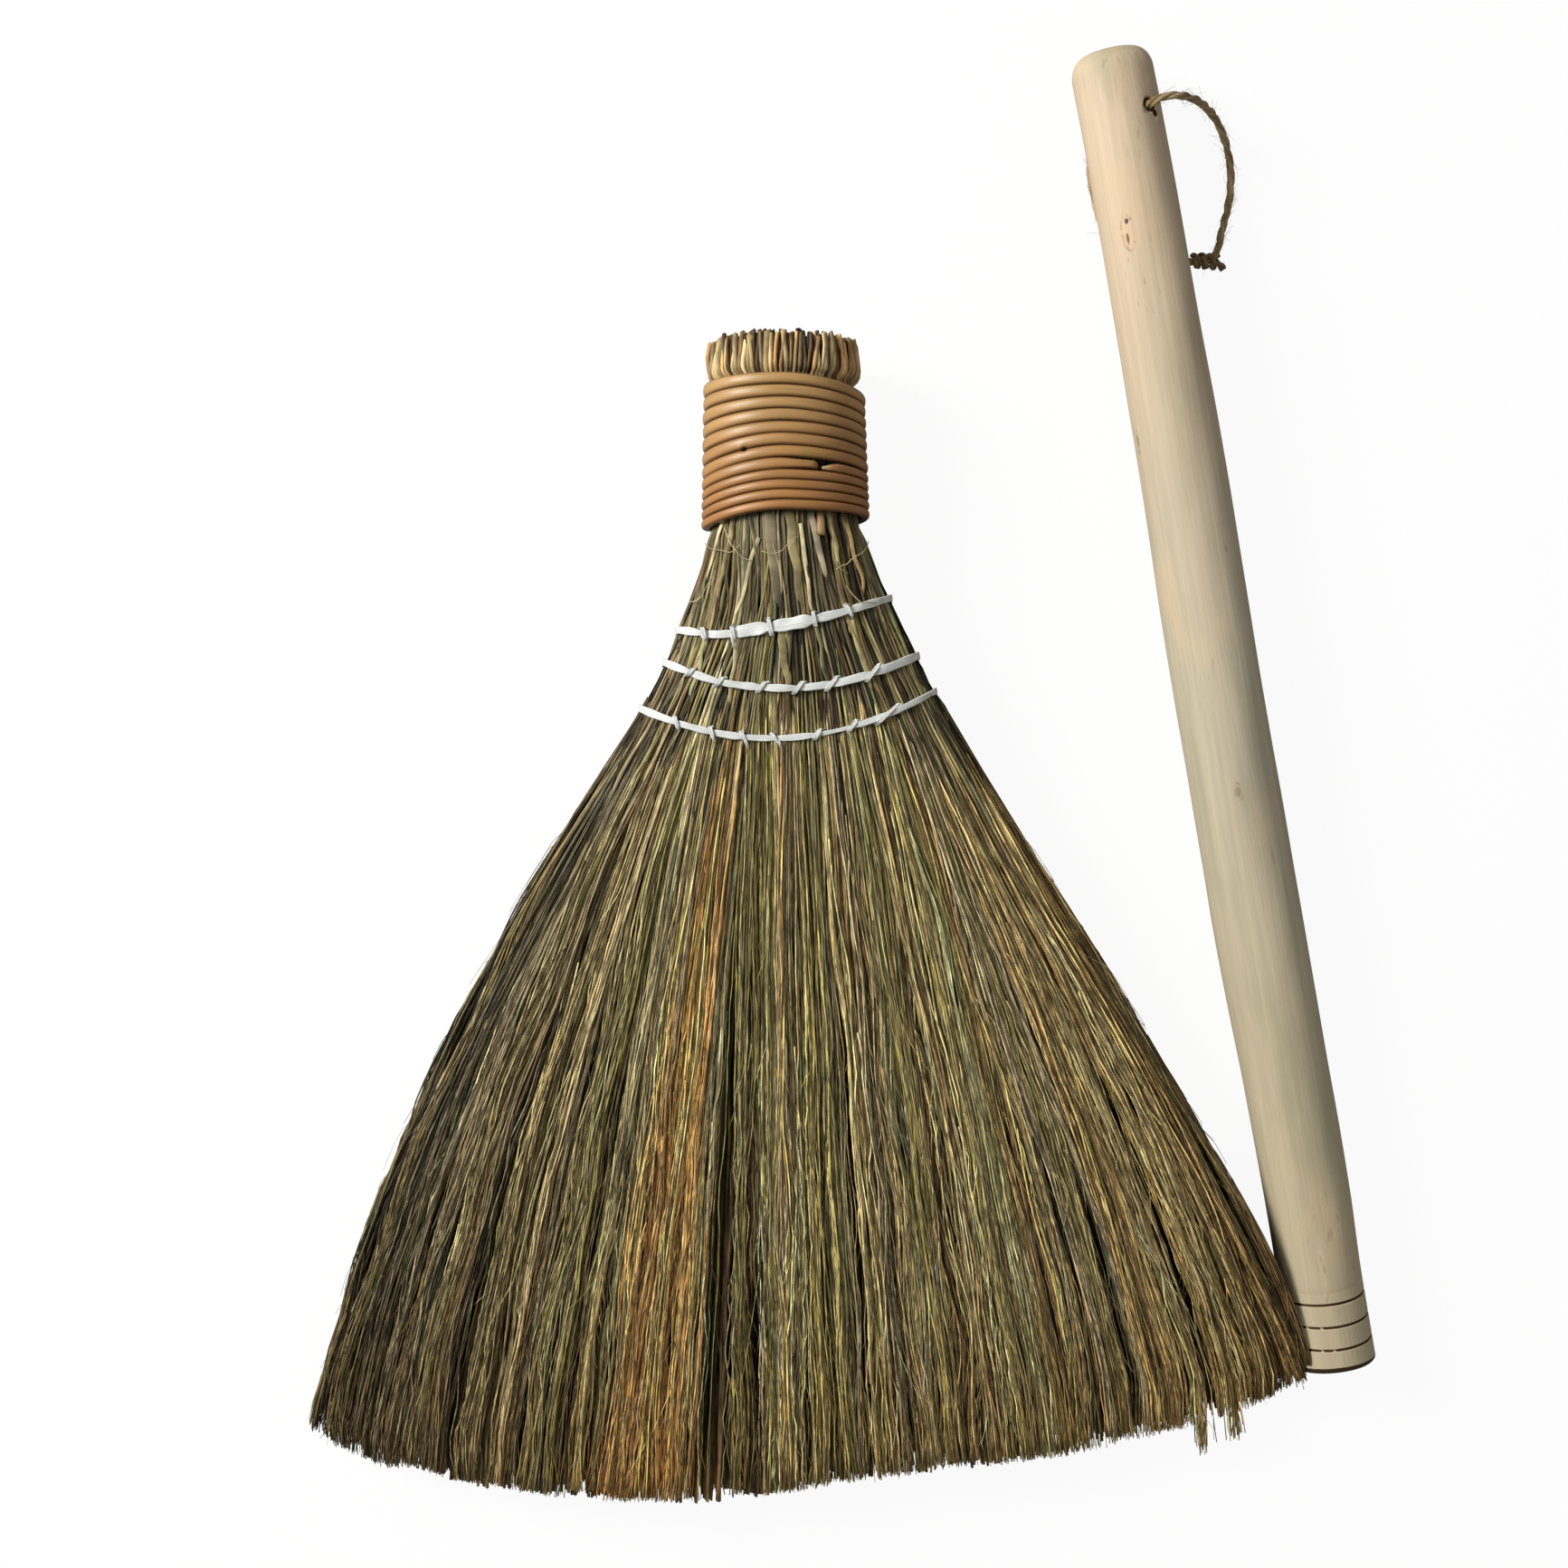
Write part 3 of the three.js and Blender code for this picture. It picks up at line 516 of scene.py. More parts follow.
# where knots sit: length along, turn round the axis from +X over the top, size across and along,
# and how far out, as shares of that size, its heart and its dark line reach
stickKnots = [
    dict(along=340.6, turn=122, across=1.7, tall=4.9, heart=0.85, line=1.05,
         inner=(228, 194, 160), rim=(178, 132, 96), strength=0.75),
    dict(along=343.9, turn=121, across=0.62, tall=0.8, heart=1.0, line=1.0,
         inner=(92, 58, 32), rim=(120, 78, 46), strength=0.95),
    dict(along=338.9, turn=123, across=0.4, tall=1.6, heart=1.0, line=1.0,
         inner=(130, 84, 52), rim=(150, 100, 64), strength=0.9),
    dict(along=176.0, turn=103, across=1.1, tall=2.6, heart=0.7, line=1.0,
         inner=(150, 130, 102), rim=(150, 130, 102), strength=0.6),
    dict(along=246.0, turn=62, across=0.7, tall=1.9, heart=0.7, line=1.0,
         inner=(160, 136, 102), rim=(170, 148, 114), strength=0.5),
    dict(along=98.0, turn=300, across=1.6, tall=4.4, heart=0.6, line=1.0,
         inner=(112, 80, 54), rim=(150, 112, 78), strength=0.8),
    dict(along=282.0, turn=168, across=1.2, tall=3.4, heart=0.6, line=1.0,
         inner=(132, 112, 82), rim=(160, 142, 106), strength=0.6),
]


def paintKnot(finish, place, colour, mark):
    turn = math.radians(mark["turn"])
    radius = float(stickRadius(mark["along"]))
    middle = Vector((radius * math.cos(turn), mark["along"], radius * math.sin(turn))) * mm
    away = vectors(finish, "SUBTRACT", place, tuple(middle))
    above = vectors(finish, "PROJECT", away, (math.cos(turn), 0, math.sin(turn)))
    away = vectors(finish, "SUBTRACT", away, scaled(finish, above, (wood["knotDepth"],) * 3))
    size = tuple(1 / (mark[key] * mm) for key in ("across", "tall", "across"))
    far = vectors(finish, "LENGTH", vectors(finish, "MULTIPLY", away, size))
    far = roughened(finish, far, grained(finish, place, wood["knotGrain"]), wood["knotRagged"])
    full, none = (mark["heart"] * share for share in wood["knotHeart"])
    heart = span(finish, far, full, none, mark["strength"], 0.0)
    colour = blend(finish, heart, colour, linear(*mark["inner"]))
    offLine = sums(finish, "ABSOLUTE", sums(finish, "SUBTRACT", far, mark["line"]))
    broken = span(finish, noise(finish, place, 520.0, 2.0), *wood["knotBroken"])
    drawn = product(finish, span(finish, offLine, *wood["knotLine"], mark["strength"], 0.0), broken)
    return blend(finish, drawn, colour, linear(*mark["rim"]))


def unevenStick(dice, along, turned):
    share, angle = along / stickLength, np.radians(turned)
    uneven = np.zeros(np.broadcast(along, angle).shape)
    for lobes, rate, reach in stick["lobes"]:
        for _ in range(2):
            phase = dice.uniform(0, 2 * np.pi, 2)
            uneven += reach * np.cos(lobes * angle + phase[0]) * np.sin(rate * 2 * np.pi * share + phase[1])
    for mark in stickKnots:
        apart = turnsApart(turned, mark["turn"]) * np.pi / 180 * stick["swellRadius"]
        off = (along - mark["along"]) / stick["swellAlong"]
        near = np.exp(-((apart / stick["swellAcross"]) ** 2) - off**2)
        uneven += stick["swell"] * near * (mark["tall"] > stick["swellFrom"])
    return uneven


def makeStick():
    dice = np.random.default_rng(stick["seed"])
    along, radius = np.split(stickProfile(), 2, axis=1)
    turned = (np.arange(stick["sides"]) * 360 / stick["sides"])[None]
    angle = np.radians(turned)
    evenEnd, unevenFrom = (stick["plainTo"] + step for step in stick["evenTo"])
    free = ease(along, evenEnd, unevenFrom) * ease(radius, *stick["evenRadius"])
    groove = grooveDepths(along, turned) * (radius > stick["plugRadius"] - stick["grooveRim"])
    reach = radius + unevenStick(dice, along, turned) * free - stick["grooveDepth"] * groove
    sway = np.sin(stick["swayRate"] * (along / stickLength) * np.pi + stick["swayStart"])
    # both ends are cut aslant
    lift = reach * np.sin(angle)
    atTop = ease(along, stickLength - stick["topSlantOver"], stickLength)
    atFoot = 1 - ease(along, 0, stick["footSlantOver"])
    slant = stick["topSlant"] * (stick["plugRadius"] + lift) * atTop
    slant -= stick["footSlant"] * (stick["plugRadius"] + lift) * atFoot
    points = xyz(reach * np.cos(angle) + stick["sway"] * sway * free, along - slant, lift)[None]
    # painted shade on the foot's rounded rim
    footRimShade = (1 - ease(along, *stick["footRimShadeAlong"])) * ease(radius, *stick["footRimShadeRadius"])
    cut = 1 - ease(radius, *stick["cutRadius"])
    values = dict(groove=groove, footRimShade=footRimShade, cut=cut)
    values = {key: np.broadcast_to(value, reach.shape).ravel() for key, value in values.items()}
    piece = addPiece("stick", points, woodFinish(), "stick", values, stickMatrix)
    drillHole(piece)
    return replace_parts(piece, "handle")


def drillHole(piece):  # the hole for the cord, and a shallow pit beside it
    # both are lined with a dark wood colour, painted shade inside the hole and the pit
    dark, shader = newFinish("hole_wood_painted_shade", 0.85, 0.1)
    rough = noise(dark, addNode(dark, "TexCoord").outputs["Object"], 1500.0)
    plug(dark, toned(dark, wood["hole"], rough, 0.6, 1.3), shader.inputs["Base Color"])
    piece.data.materials.append(dark)
    depth = 3 * stick["plugRadius"]
    side, down, pitRadius = stick["pit"]
    middle = np.array([0, stick["holeAt"], 0])
    lean = np.array([math.sin(holeLean), 0, math.cos(holeLean)])
    beside = np.array([math.cos(holeLean), 0, -math.sin(holeLean)])
    pitMiddle = middle + beside * side + np.array([0, down, 0])
    pitFoot = stick["plugRadius"] - stick["pitDepth"]
    bores = [(middle - lean * depth, middle + lean * depth, stick["holeRadius"]),
             (pitMiddle + lean * pitFoot, pitMiddle + lean * depth, pitRadius)]
    for number, (start, end, radius) in enumerate(bores):
        line, radii = np.stack([start, end])[None], np.full((1, 2), radius)
        points = tubes(line, radii, stick["holeSides"], up=(0, 1, 0))
        drill = addPiece(f"drill_{number}", points, dark, "stick", None, stickMatrix)
        cut = piece.modifiers.new("hole", "BOOLEAN")
        cut.object = drill
        cut.operation = "DIFFERENCE"
        cut.solver = "EXACT"
        cut.material_mode = "TRANSFER"
        bpy.context.view_layer.update()
        ready = piece.evaluated_get(bpy.context.evaluated_depsgraph_get())
        drilled = bpy.data.meshes.new_from_object(ready)
        piece.modifiers.clear()
        piece.data = drilled
        bpy.data.objects.remove(drill)


makeStick()


# Hanging cord: a loop of jute twine, from the middle of the hole round and back to it

cord = dict(
    diameter=2.6, spacing=0.55, plies=3, plyRadius=0.65, plyOut=0.53, plyTurn=15.0, sides=10,
    frontOfHole=[0.0, 4.0, 11.5], backOfHole=[-11.5, -4.0, -0.6],
    route=[(107.6, 196.9, 28.9), (110.8, 197.5, 29.6), (114.4, 198.1, 28.2), (120.8, 198.8, 22.8),
           (127.6, 197.8, 14.4), (132.6, 194.2, 7.4), (135.4, 188.4, 3.4), (136, 181.4, 2),
           (135, 174.6, 1.9), (133.2, 168, 2.4), (131.6, 162, 3.2), (128.6, 158.9, 3), (123.8, 158.8, 2.9),
           (114, 158.4, 1.8), (107.4, 159, 1.7), (103, 162.2, 1.7), (99, 166.8, 1.7), (96.2, 172.4, 1.7),
           (94.4, 178.6, 1.7), (93.4, 184.6, 1.9), (93, 189.2, 2.5), (93.2, 192.8, 3.9)],
    pale=linear(212, 186, 142), dark=linear(138, 106, 68), seed=8,
)
knot = dict(
    middle=(128.0, 158.8, 3.0), length=7.4, turns=3.0, radius=1.5, steps=150,
    plies=2, plyOut=0.5, plyRadius=0.66, plyTurn=7.0, sides=9,
    stub=[(131.2, 158.4, 3.6), (132.6, 157.6, 3.2), (133.6, 156.4, 2.6)], spacing=0.3,
    dark=cord["dark"] * 0.8, pale=mix(cord["dark"] * 0.8, cord["pale"], 0.5),
)
fibres = dict(
    count=380, steps=5, sides=3, length=(1.2, 4.2), radius=0.045, lowest=0.0, lineLowest=0.15,
    clear=13.4, oneAtHole=12, stepsAtHole=5, splay=(0.15, 0.8), curl=0.25, sunk=0.3, pale=1.15,
    up=(0.3, 0.5, 0.8),
)


def twineFinish():
    finish, shader = newFinish("jute_twine", 0.85, 0.15)
    fine = grained(finish, attribute(finish, "run"), (1.1, 14.0, 5.0), 4.0, 0.6)
    colour = toned(finish, attribute(finish, "tint"), fine, 0.6, 1.3)
    plug(finish, colour, shader.inputs["Base Color"])
    bump(finish, shader, fine, 0.0005, 0.8)
    return finish


def twistPlies(line, look, dice):  # plies laid round a line, and their values
    plies, sides = look["plies"], look["sides"]
    side, lift = carryFrame(line)
    gone = lengthsAlong(line)
    at = np.linspace(0, 1, len(line))
    out = look["plyOut"] * (1 + wobble(dice, plies, at, (5, 11), 0.1))
    turned = 2 * np.pi * gone / look["plyTurn"] + np.arange(plies)[:, None] * 2 * np.pi / plies
    turned = turned + wobble(dice, plies, at, (3, 7), 0.25)
    radial = np.cos(turned)[..., None] * side + np.sin(turned)[..., None] * lift
    radii = look["plyRadius"] * (1 + wobble(dice, plies, at, (8, 19, 37), 0.09))
    points = tubes(line + out[..., None] * radial, radii, sides, up=radial)
    share = np.clip(0.62 + wobble(dice, plies, at, (4, 13, 29), 0.22), 0, 1)
    tint = mix(look["dark"], look["pale"], share[..., None])
    return points, tubeValues(tint, np.broadcast_to(gone, radii.shape), sides, np.arange(plies) * 3.7)


def makeCord(finish):
    dice = np.random.default_rng(cord["seed"])
    front = [holeMiddle + holeAxis * along for along in cord["frontOfHole"]]
    back = [holeMiddle + holeAxis * along for along in cord["backOfHole"]]
    line = smoothLine([*front, *cord["route"], *back], cord["spacing"])
    points, values = twistPlies(line, cord, dice)
    piece = addPiece("hanging_loop", points, finish, "stick", values)
    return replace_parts(piece, "hanging_cord"), line


def makeKnot(finish):
    dice = np.random.default_rng(cord["seed"] + 1)
    turned = np.linspace(0, 2 * np.pi * knot["turns"], knot["steps"])
    x = np.linspace(-knot["length"] / 2, knot["length"] / 2, knot["steps"])
    coil = xyz(x, knot["radius"] * np.cos(turned), knot["radius"] * np.sin(turned))
    lines = [coil + np.array(knot["middle"]), smoothLine(knot["stub"], knot["spacing"])]
    made = [twistPlies(line, knot, dice) for line in lines]
    values = {key: np.vstack([own[key] for _, own in made]) for key in ("tint", "run")}
    piece = addPiece("loop_knot", [points for points, _ in made], finish, "stick", values)
    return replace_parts(piece, "cord_knot")


def makeFibres(finish, line):  # loose jute hairs, thickest where the cord comes out of the stick
    dice = np.random.default_rng(cord["seed"] + 2)
    count, steps = fibres["count"], fibres["steps"]
    side, lift = carryFrame(line)
    ahead = unit(np.gradient(line, axis=0))
    clear = np.flatnonzero(np.linalg.norm(line - holeMiddle, axis=1) > fibres["clear"])
    at = dice.choice(clear, count)
    atHole = count // fibres["oneAtHole"]
    at[:atHole] = clear[0] + dice.integers(0, fibres["stepsAtHole"], atHole)
    turned = dice.uniform(0, 2 * np.pi, count)[:, None]
    radial = np.cos(turned) * side[at] + np.sin(turned) * lift[at]
    way = dice.choice([-1, 1], count)[:, None]
    away = unit(ahead[at] * way + radial * dice.uniform(*fibres["splay"], (count, 1)))
    long = dice.uniform(*fibres["length"], (count, 1))
    curl = dice.normal(0, fibres["curl"], (count, 3))
    t = np.linspace(0, 1, steps)[None, :, None]
    start = line[at] + radial * (cord["diameter"] / 2 - fibres["sunk"])
    lines = start[:, None] + long[:, None] * (away[:, None] * t + curl[:, None] * t**2)
    lines[..., 2] = np.maximum(lines[..., 2], fibres["lineLowest"])
    radii = fibres["radius"] * dice.uniform(0.7, 1.3, (count, 1)) * np.linspace(1, 0.5, steps)
    tint = mix(cord["dark"], cord["pale"] * fibres["pale"], dice.uniform(0.3, 1, (count, 1, 1)))
    lengths = np.broadcast_to(np.linspace(0, 4, steps), (count, steps))
    up = fibres["up"]
    return addTubes("loop_fibres", lines, radii, tint, lengths, fibres, finish, "stick", up=up)


twine = twineFinish()
cordPiece, cordLine = makeCord(twine)
knotPiece = makeKnot(twine)
fibrePiece = makeFibres(twine, cordLine)
print(f"hanging cord: {lengthsAlong(cordLine)[-1]:.0f} mm round")


# Head: at places along Y, its half width and half height and where its middle lies in Z and X

headStations = np.array([
    (129, 21.6, 17.2, 18.5, 0), (124, 22.8, 18, 18.5, 0), (120, 23.2, 18.2, 18.5, 0),
    (118.4, 22.5, 17.6, 18.5, 0), (117.2, 20.8, 16.2, 18.5, 0),
    (75.5, 21.9, 16.1, 18.5, 0.5), (72, 23.8, 16.3, 18.5, 0.7), (66, 25.5, 16.4, 18.5, 1),
    (55, 30.2, 15.6, 18.1, 1.7), (43, 35.2, 14.8, 17.7, 2.3), (30, 41, 14, 17.2, 2.6),
    (16, 49, 13, 16.6, 2.6), (3, 57.2, 12.6, 16.2, 2.6), (-40, 82, 12, 14.4, 2.8), (-120, 127, 11, 12, 6.5),
])[::-1]
socketRadius = 12.7
shoulderEdge, shoulderRound = 0.3, 2.5
tintRange = 0.004, 1.0


def alongHead(column):
    return lambda y: np.interp(y, headStations[:, 0], headStations[:, column])


headWide, headHigh, headZ, headX = (alongHead(column) for column in (1, 2, 3, 4))


def halfThickness(y, share):  # full in the middle, rounded towards the sides
    bow = np.sqrt(np.clip(1 - np.abs(share) ** shoulderRound, 0, 1))
    return headHigh(y) * (shoulderEdge + (1 - shoulderEdge) * bow)


def faceZ(x, y, side):
    return headZ(y) + side * halfThickness(y, (x - headX(y)) / headWide(y))


def strawFinish(name, roughness, stepAlong, streak):  # each strand lighter and darker in short lengths
    finish, shader = newFinish(name, roughness, 0.3)
    fine = grained(finish, attribute(finish, "run"), (1 / stepAlong, 0.5, 3.7), 3.0, 0.6)
    fine = span(finish, fine, *noiseRange)
    colour = toned(finish, attribute(finish, "tint"), fine, 1 - streak, 1 + streak)
    plug(finish, colour, shader.inputs["Base Color"])
    bump(finish, shader, fine, 0.0003, 0.4)
    return finish


straw = dict(
    straw=linear(206, 190, 144), khaki=linear(172, 156, 110), sage=linear(150, 148, 106),
    tan=linear(184, 152, 104), brown=linear(128, 100, 66), umber=linear(78, 60, 38),
    grey=linear(148, 136, 108), olive=linear(144, 132, 78), moss=linear(120, 114, 64),
    gold=linear(200, 164, 100), orange=linear(190, 140, 82), pith=linear(210, 190, 142),
)


def pickColours(dice, weights, count):
    names = list(weights)
    chance = np.array(list(weights.values()), float)
    picked = dice.choice(len(names), count, p=chance / chance.sum())
    return np.array([straw[n] for n in names])[picked]


# Sewing: a flat strip round the head in each row, held down by a lace that goes through it

sewing = dict(
    stripThick=0.34, stripLift=0.45, samples=150, pinch=0.3, holds=4.0, drawnIn=1.0, cornerIn=2.4,
    laceWidth=1.15, laceThick=0.3, lacePast=0.5, laceLift=0.8, laceBuried=7.0, laceStep=0.3,
    tailWidth=0.5, tailThick=0.3, tailSteps=12, under=0.2, lowest=0.1, dipAt=-19.0, dipHalf=8.0,
    ringSteps=360, stitchHalf=1.5, crease=0.45, laceCrease=0.3, seed=50, laceSeed=60, laceMark=5,
    widthSway=0.06, roll=0.12, stitchSunk=0.25, liftSway=0.1, stitchPaintedShade=0.1, swayShade=0.04,
    tailBack=0.8, tailStart=0.4, tailLift=0.55, tailHump=0.35, tailNarrows=0.8, tailTilt=(0.2, 0.0, 1.0),
    white=linear(253, 253, 248), shade=linear(228, 230, 222),
)
# each row's curve, the strip's width at places across, the stitches with their slants, and loose lace ends
stitchRows = [
    dict(
        middleY=45.3, tilt=0.15, sag=0.0045, dip=1.3,
        widths=[(-32, 2.1), (-23, 2.2), (-15, 2.6), (-13, 3.5), (-4, 3.7), (5, 3.6), (9, 2.8), (20, 2.3),
                (33, 1.9)],
        stitches=[(-23, 0.5), (-14.6, 0.4), (-4, 0.5), (8.6, 0.4), (18.4, 0.9)],
        ends=[(-22.6, -2.6), (-14.2, -4.6), (-3.4, -2.8), (19.6, -2.8)],
    ),
    dict(
        middleY=27.4, tilt=0.0, sag=0.0067, dip=0.4,
        widths=[(-40, 2.4), (-27, 2.2), (0, 2.1), (20, 2.4), (40, 2.3)],
        stitches=[(-27, -1.2), (-18.5, -1.1), (-6.6, -1.1), (4, -1.2), (13.6, -1.5), (25.3, -1.8)],
        ends=[],
    ),
    dict(
        middleY=13.2, tilt=0.045, sag=0.0062, dip=0.0,
        widths=[(-44, 2.2), (-20, 2.0), (0, 1.9), (9, 1.6), (14, 1.1), (19, 1.5), (28, 1.9), (45, 1.7)],
        stitches=[(-31, 0.6), (-20.8, 0.5), (-11.6, 0.8), (-2.7, 0.9), (9.5, -0.8), (19.5, -1.2),
                  (29.5, -3.0)],
        ends=[(-30.2, -2.2), (-20, -2.8), (-10.4, -3.2), (-0.9, -2.9)],
    ),
]


def rowY(row, x):
    dip = row["dip"] * bell((x - sewing["dipAt"]) / sewing["dipHalf"])
    return row["middleY"] + row["tilt"] * x + row["sag"] * x * x - dip


def stripZ(x, y, side):  # the head's faces as the strips press them, drawn in towards the sides
    share = np.clip(np.abs(x - headX(y)) / headWide(y), 0, 1)
    roundHalf = headHigh(y) * np.sqrt(1 - share**2)
    half = mix(roundHalf, halfThickness(y, share), ease(y, stalks["spreadFrom"], stalks["spreadTo"]))
    return headZ(y) + side * (half - sewing["cornerIn"] * share**8)


def heldDown(x, y, z, radii):  # straw lies under the strips, within the head's sides and faces
    for row in stitchRows:
        near = bell((y - rowY(row, x)) / sewing["holds"], 4)
        off = x - headX(y)
        beyond = np.abs(off) - headWide(y) + sewing["drawnIn"] + radii
        x = x - np.sign(off) * near * np.clip(beyond, 0, None)
        for side in (1, -1):
            over = np.clip(side * (z - stripZ(x, y, side)) + radii + sewing["under"], 0, None)
            z = z - side * near * over
    return x, z


# Stalks: each runs unbroken from its cut butt, under the binding and the sewing, into the bristles

stalks = dict(
    seed=21, insets=(0.7, 1.6, 2.5, 3.4, 4.6, 6.0, 7.4), spacing=1.22, sides=6,
    radius=(0.44, 0.84), broad=0.12, broadRadius=1.5, lean=0.5, leanFrom=(119, 129), lowest=0.12,
    buttBelow=0.7, buttUneven=0.8, buttReach=(-2.2, 1.2), chamfer=0.18, chamferRadius=0.86,
    stations=(125, 121.5, 119.6, 118.6, 117.4, 114, 104, 90, 79, 75, 71, 67, 63, 59, 55, 51, 47, 43, 39,
              34, 29, 23, 16, 10, 3),
    boundY=97.0, boundLoose=(19, 30), boundPaintedShadeFrom=(18, 21.5), boundPaintedShade=0.2,
    shades=(0.32, 1.36), deepPaintedShade=0.1, deepFrom=(0.76, 0.97), pithShades=(0.4, 1.0),
    shoulderShade=1.45, neckShade=0.68, neckFrom=(34, 58), buttFrom=(90, 110), buttDepth=0.3,
    # on the faces: how evenly they lie across, where the sides' turn begins, and how deep and thin they get
    level=0.75, uneven=0.035, sideTurn=0.13, inner=2.4, sinks=0.8, sinksFrom=(10, -50),
    shoulderTaper=0.62, shoulderFrom=(58, 8), fanTaper=0.45, fanFrom=(5, -60),
    spreadFrom=74.0, spreadTo=26.0, ends=(-95.0, -18.0),
    colours=dict(straw=0.22, khaki=0.34, sage=0.16, olive=0.08, tan=0.08, brown=0.08, umber=0.04),
    buttColours=dict(straw=0.24, khaki=0.22, tan=0.4, brown=0.12, umber=0.02),
    buttWarm=np.array([1.5, 1.34, 1.24]),
    fine=430, fineRadius=(0.22, 0.46), fineTop=79.0, fineEnds=(-70.0, -5.0), fineInside=1.9,
    fineDepth=0.96, fineDeeper=0.3,
    fineColours=dict(khaki=0.34, olive=0.18, straw=0.16, sage=0.08, brown=0.14, umber=0.1),
    astray=0.1, astrayReach=3.0, freeFrom=(76, 60),
    core=110, coreTop=65.0, coreUneven=1.5, coreEnd=-30.0, coreRadius=(0.6, 0.95), coreDepth=0.8,
    coreSpread=(66, 10), coreInside=0.7, coreAcross=0.86, coreHigh=0.6, coreTaper=0.4, coreThins=(60, -20),
    coreColours=dict(khaki=0.4, brown=0.4, umber=0.2),
)
stalkSteps = len(stalks["stations"]) + 6
tailLies = dict(x=10.4, half=1.8, foot=70.4, runIn=2.5, top=79.0, press=1.7)  # where the cane's end lies


def ovalReach(wide, high, angle):  # from the middle of an oval to its rim
    return wide * high / np.hypot(high * np.cos(angle), wide * np.sin(angle))


def stalkPlaces(dice):  # an angle round the neck and a depth from the socket's wall, 0, to the outside, 1
    wide, high = headWide(buttY), headHigh(buttY)
    places = []
    for inset in stalks["insets"]:
        a, b = wide - inset, high - inset
        around = np.pi * (3 * (a + b) - math.sqrt((3 * a + b) * (a + 3 * b)))
        count = int(around / stalks["spacing"])
        turn = (np.arange(count) + dice.uniform(-0.25, 0.25, count) + dice.uniform()) * 2 * np.pi / count
        x, z = a * np.cos(turn), b * np.sin(turn)
        far = np.hypot(x, z)
        angle = np.arctan2(z, x)
        depth = (far - socketRadius) / (ovalReach(wide, high, angle) - socketRadius)
        places.append(np.stack([angle, depth], axis=1)[far > socketRadius + 0.5])
    return np.vstack(places)


def layStalks(dice, angle, depth, radius, y):  # from round the socket to side by side on the two faces
    depth = np.clip(depth, 0, 1)
    wide, high = headWide(y) - radius, headHigh(y) - radius
    far = mix(socketRadius + radius, ovalReach(wide, high, angle), depth)
    neckX, neckZ = far * np.cos(angle), headZ(y) + far * np.sin(angle)
    level = 1 - 2 * np.abs(angle) / np.pi
    uneven = 1 - stalks["uneven"] * dice.uniform(size=angle.shape)
    share = mix(np.cos(angle), level, stalks["level"]) * uneven
    fromSide = np.minimum(np.abs(angle), np.pi - np.abs(angle))
    rise = np.sign(angle) * np.clip(fromSide / stalks["sideTurn"], 0, 1)
    taper = mix(1.0, stalks["shoulderTaper"], ease(y, *stalks["shoulderFrom"]))
    taper = taper * mix(1.0, stalks["fanTaper"], ease(y, *stalks["fanFrom"]))
    sinks = stalks["sinks"] * ease(y, *stalks["sinksFrom"])
    buried = radius * taper + (1 - depth) * stalks["inner"] + sinks
    flatX = share * (headWide(y) - radius * taper)
    flatZ = headZ(y) + rise * (halfThickness(y, share) - buried)
    spread = ease(y, stalks["spreadFrom"], stalks["spreadTo"])
    x = headX(y) + mix(neckX, flatX, spread)
    z = mix(neckZ, flatZ, spread)
    # pressed down where the cane's end lies on them
    pressed = bell((x - tailLies["x"]) / tailLies["half"], 4) * (y < tailLies["top"])
    pressed = pressed * ease(y, tailLies["foot"] - tailLies["runIn"], tailLies["foot"])
    z = np.where(z > headZ(y), z - tailLies["press"] * pressed, z)
    return x, z, radius * taper


def shadeStalks(dice, colours, count, at, depth):  # painted shade: the deeper ones darker
    tint = pickColours(dice, colours, count)[:, None] * dice.uniform(*stalks["shades"], (count, 1, 1))
    tint = tint * mix(stalks["deepPaintedShade"], 1.0, ease(depth, *stalks["deepFrom"]))[..., None]
    return tint * (1 + wobble(dice, count, at, (2, 5, 9), 0.14))[..., None]


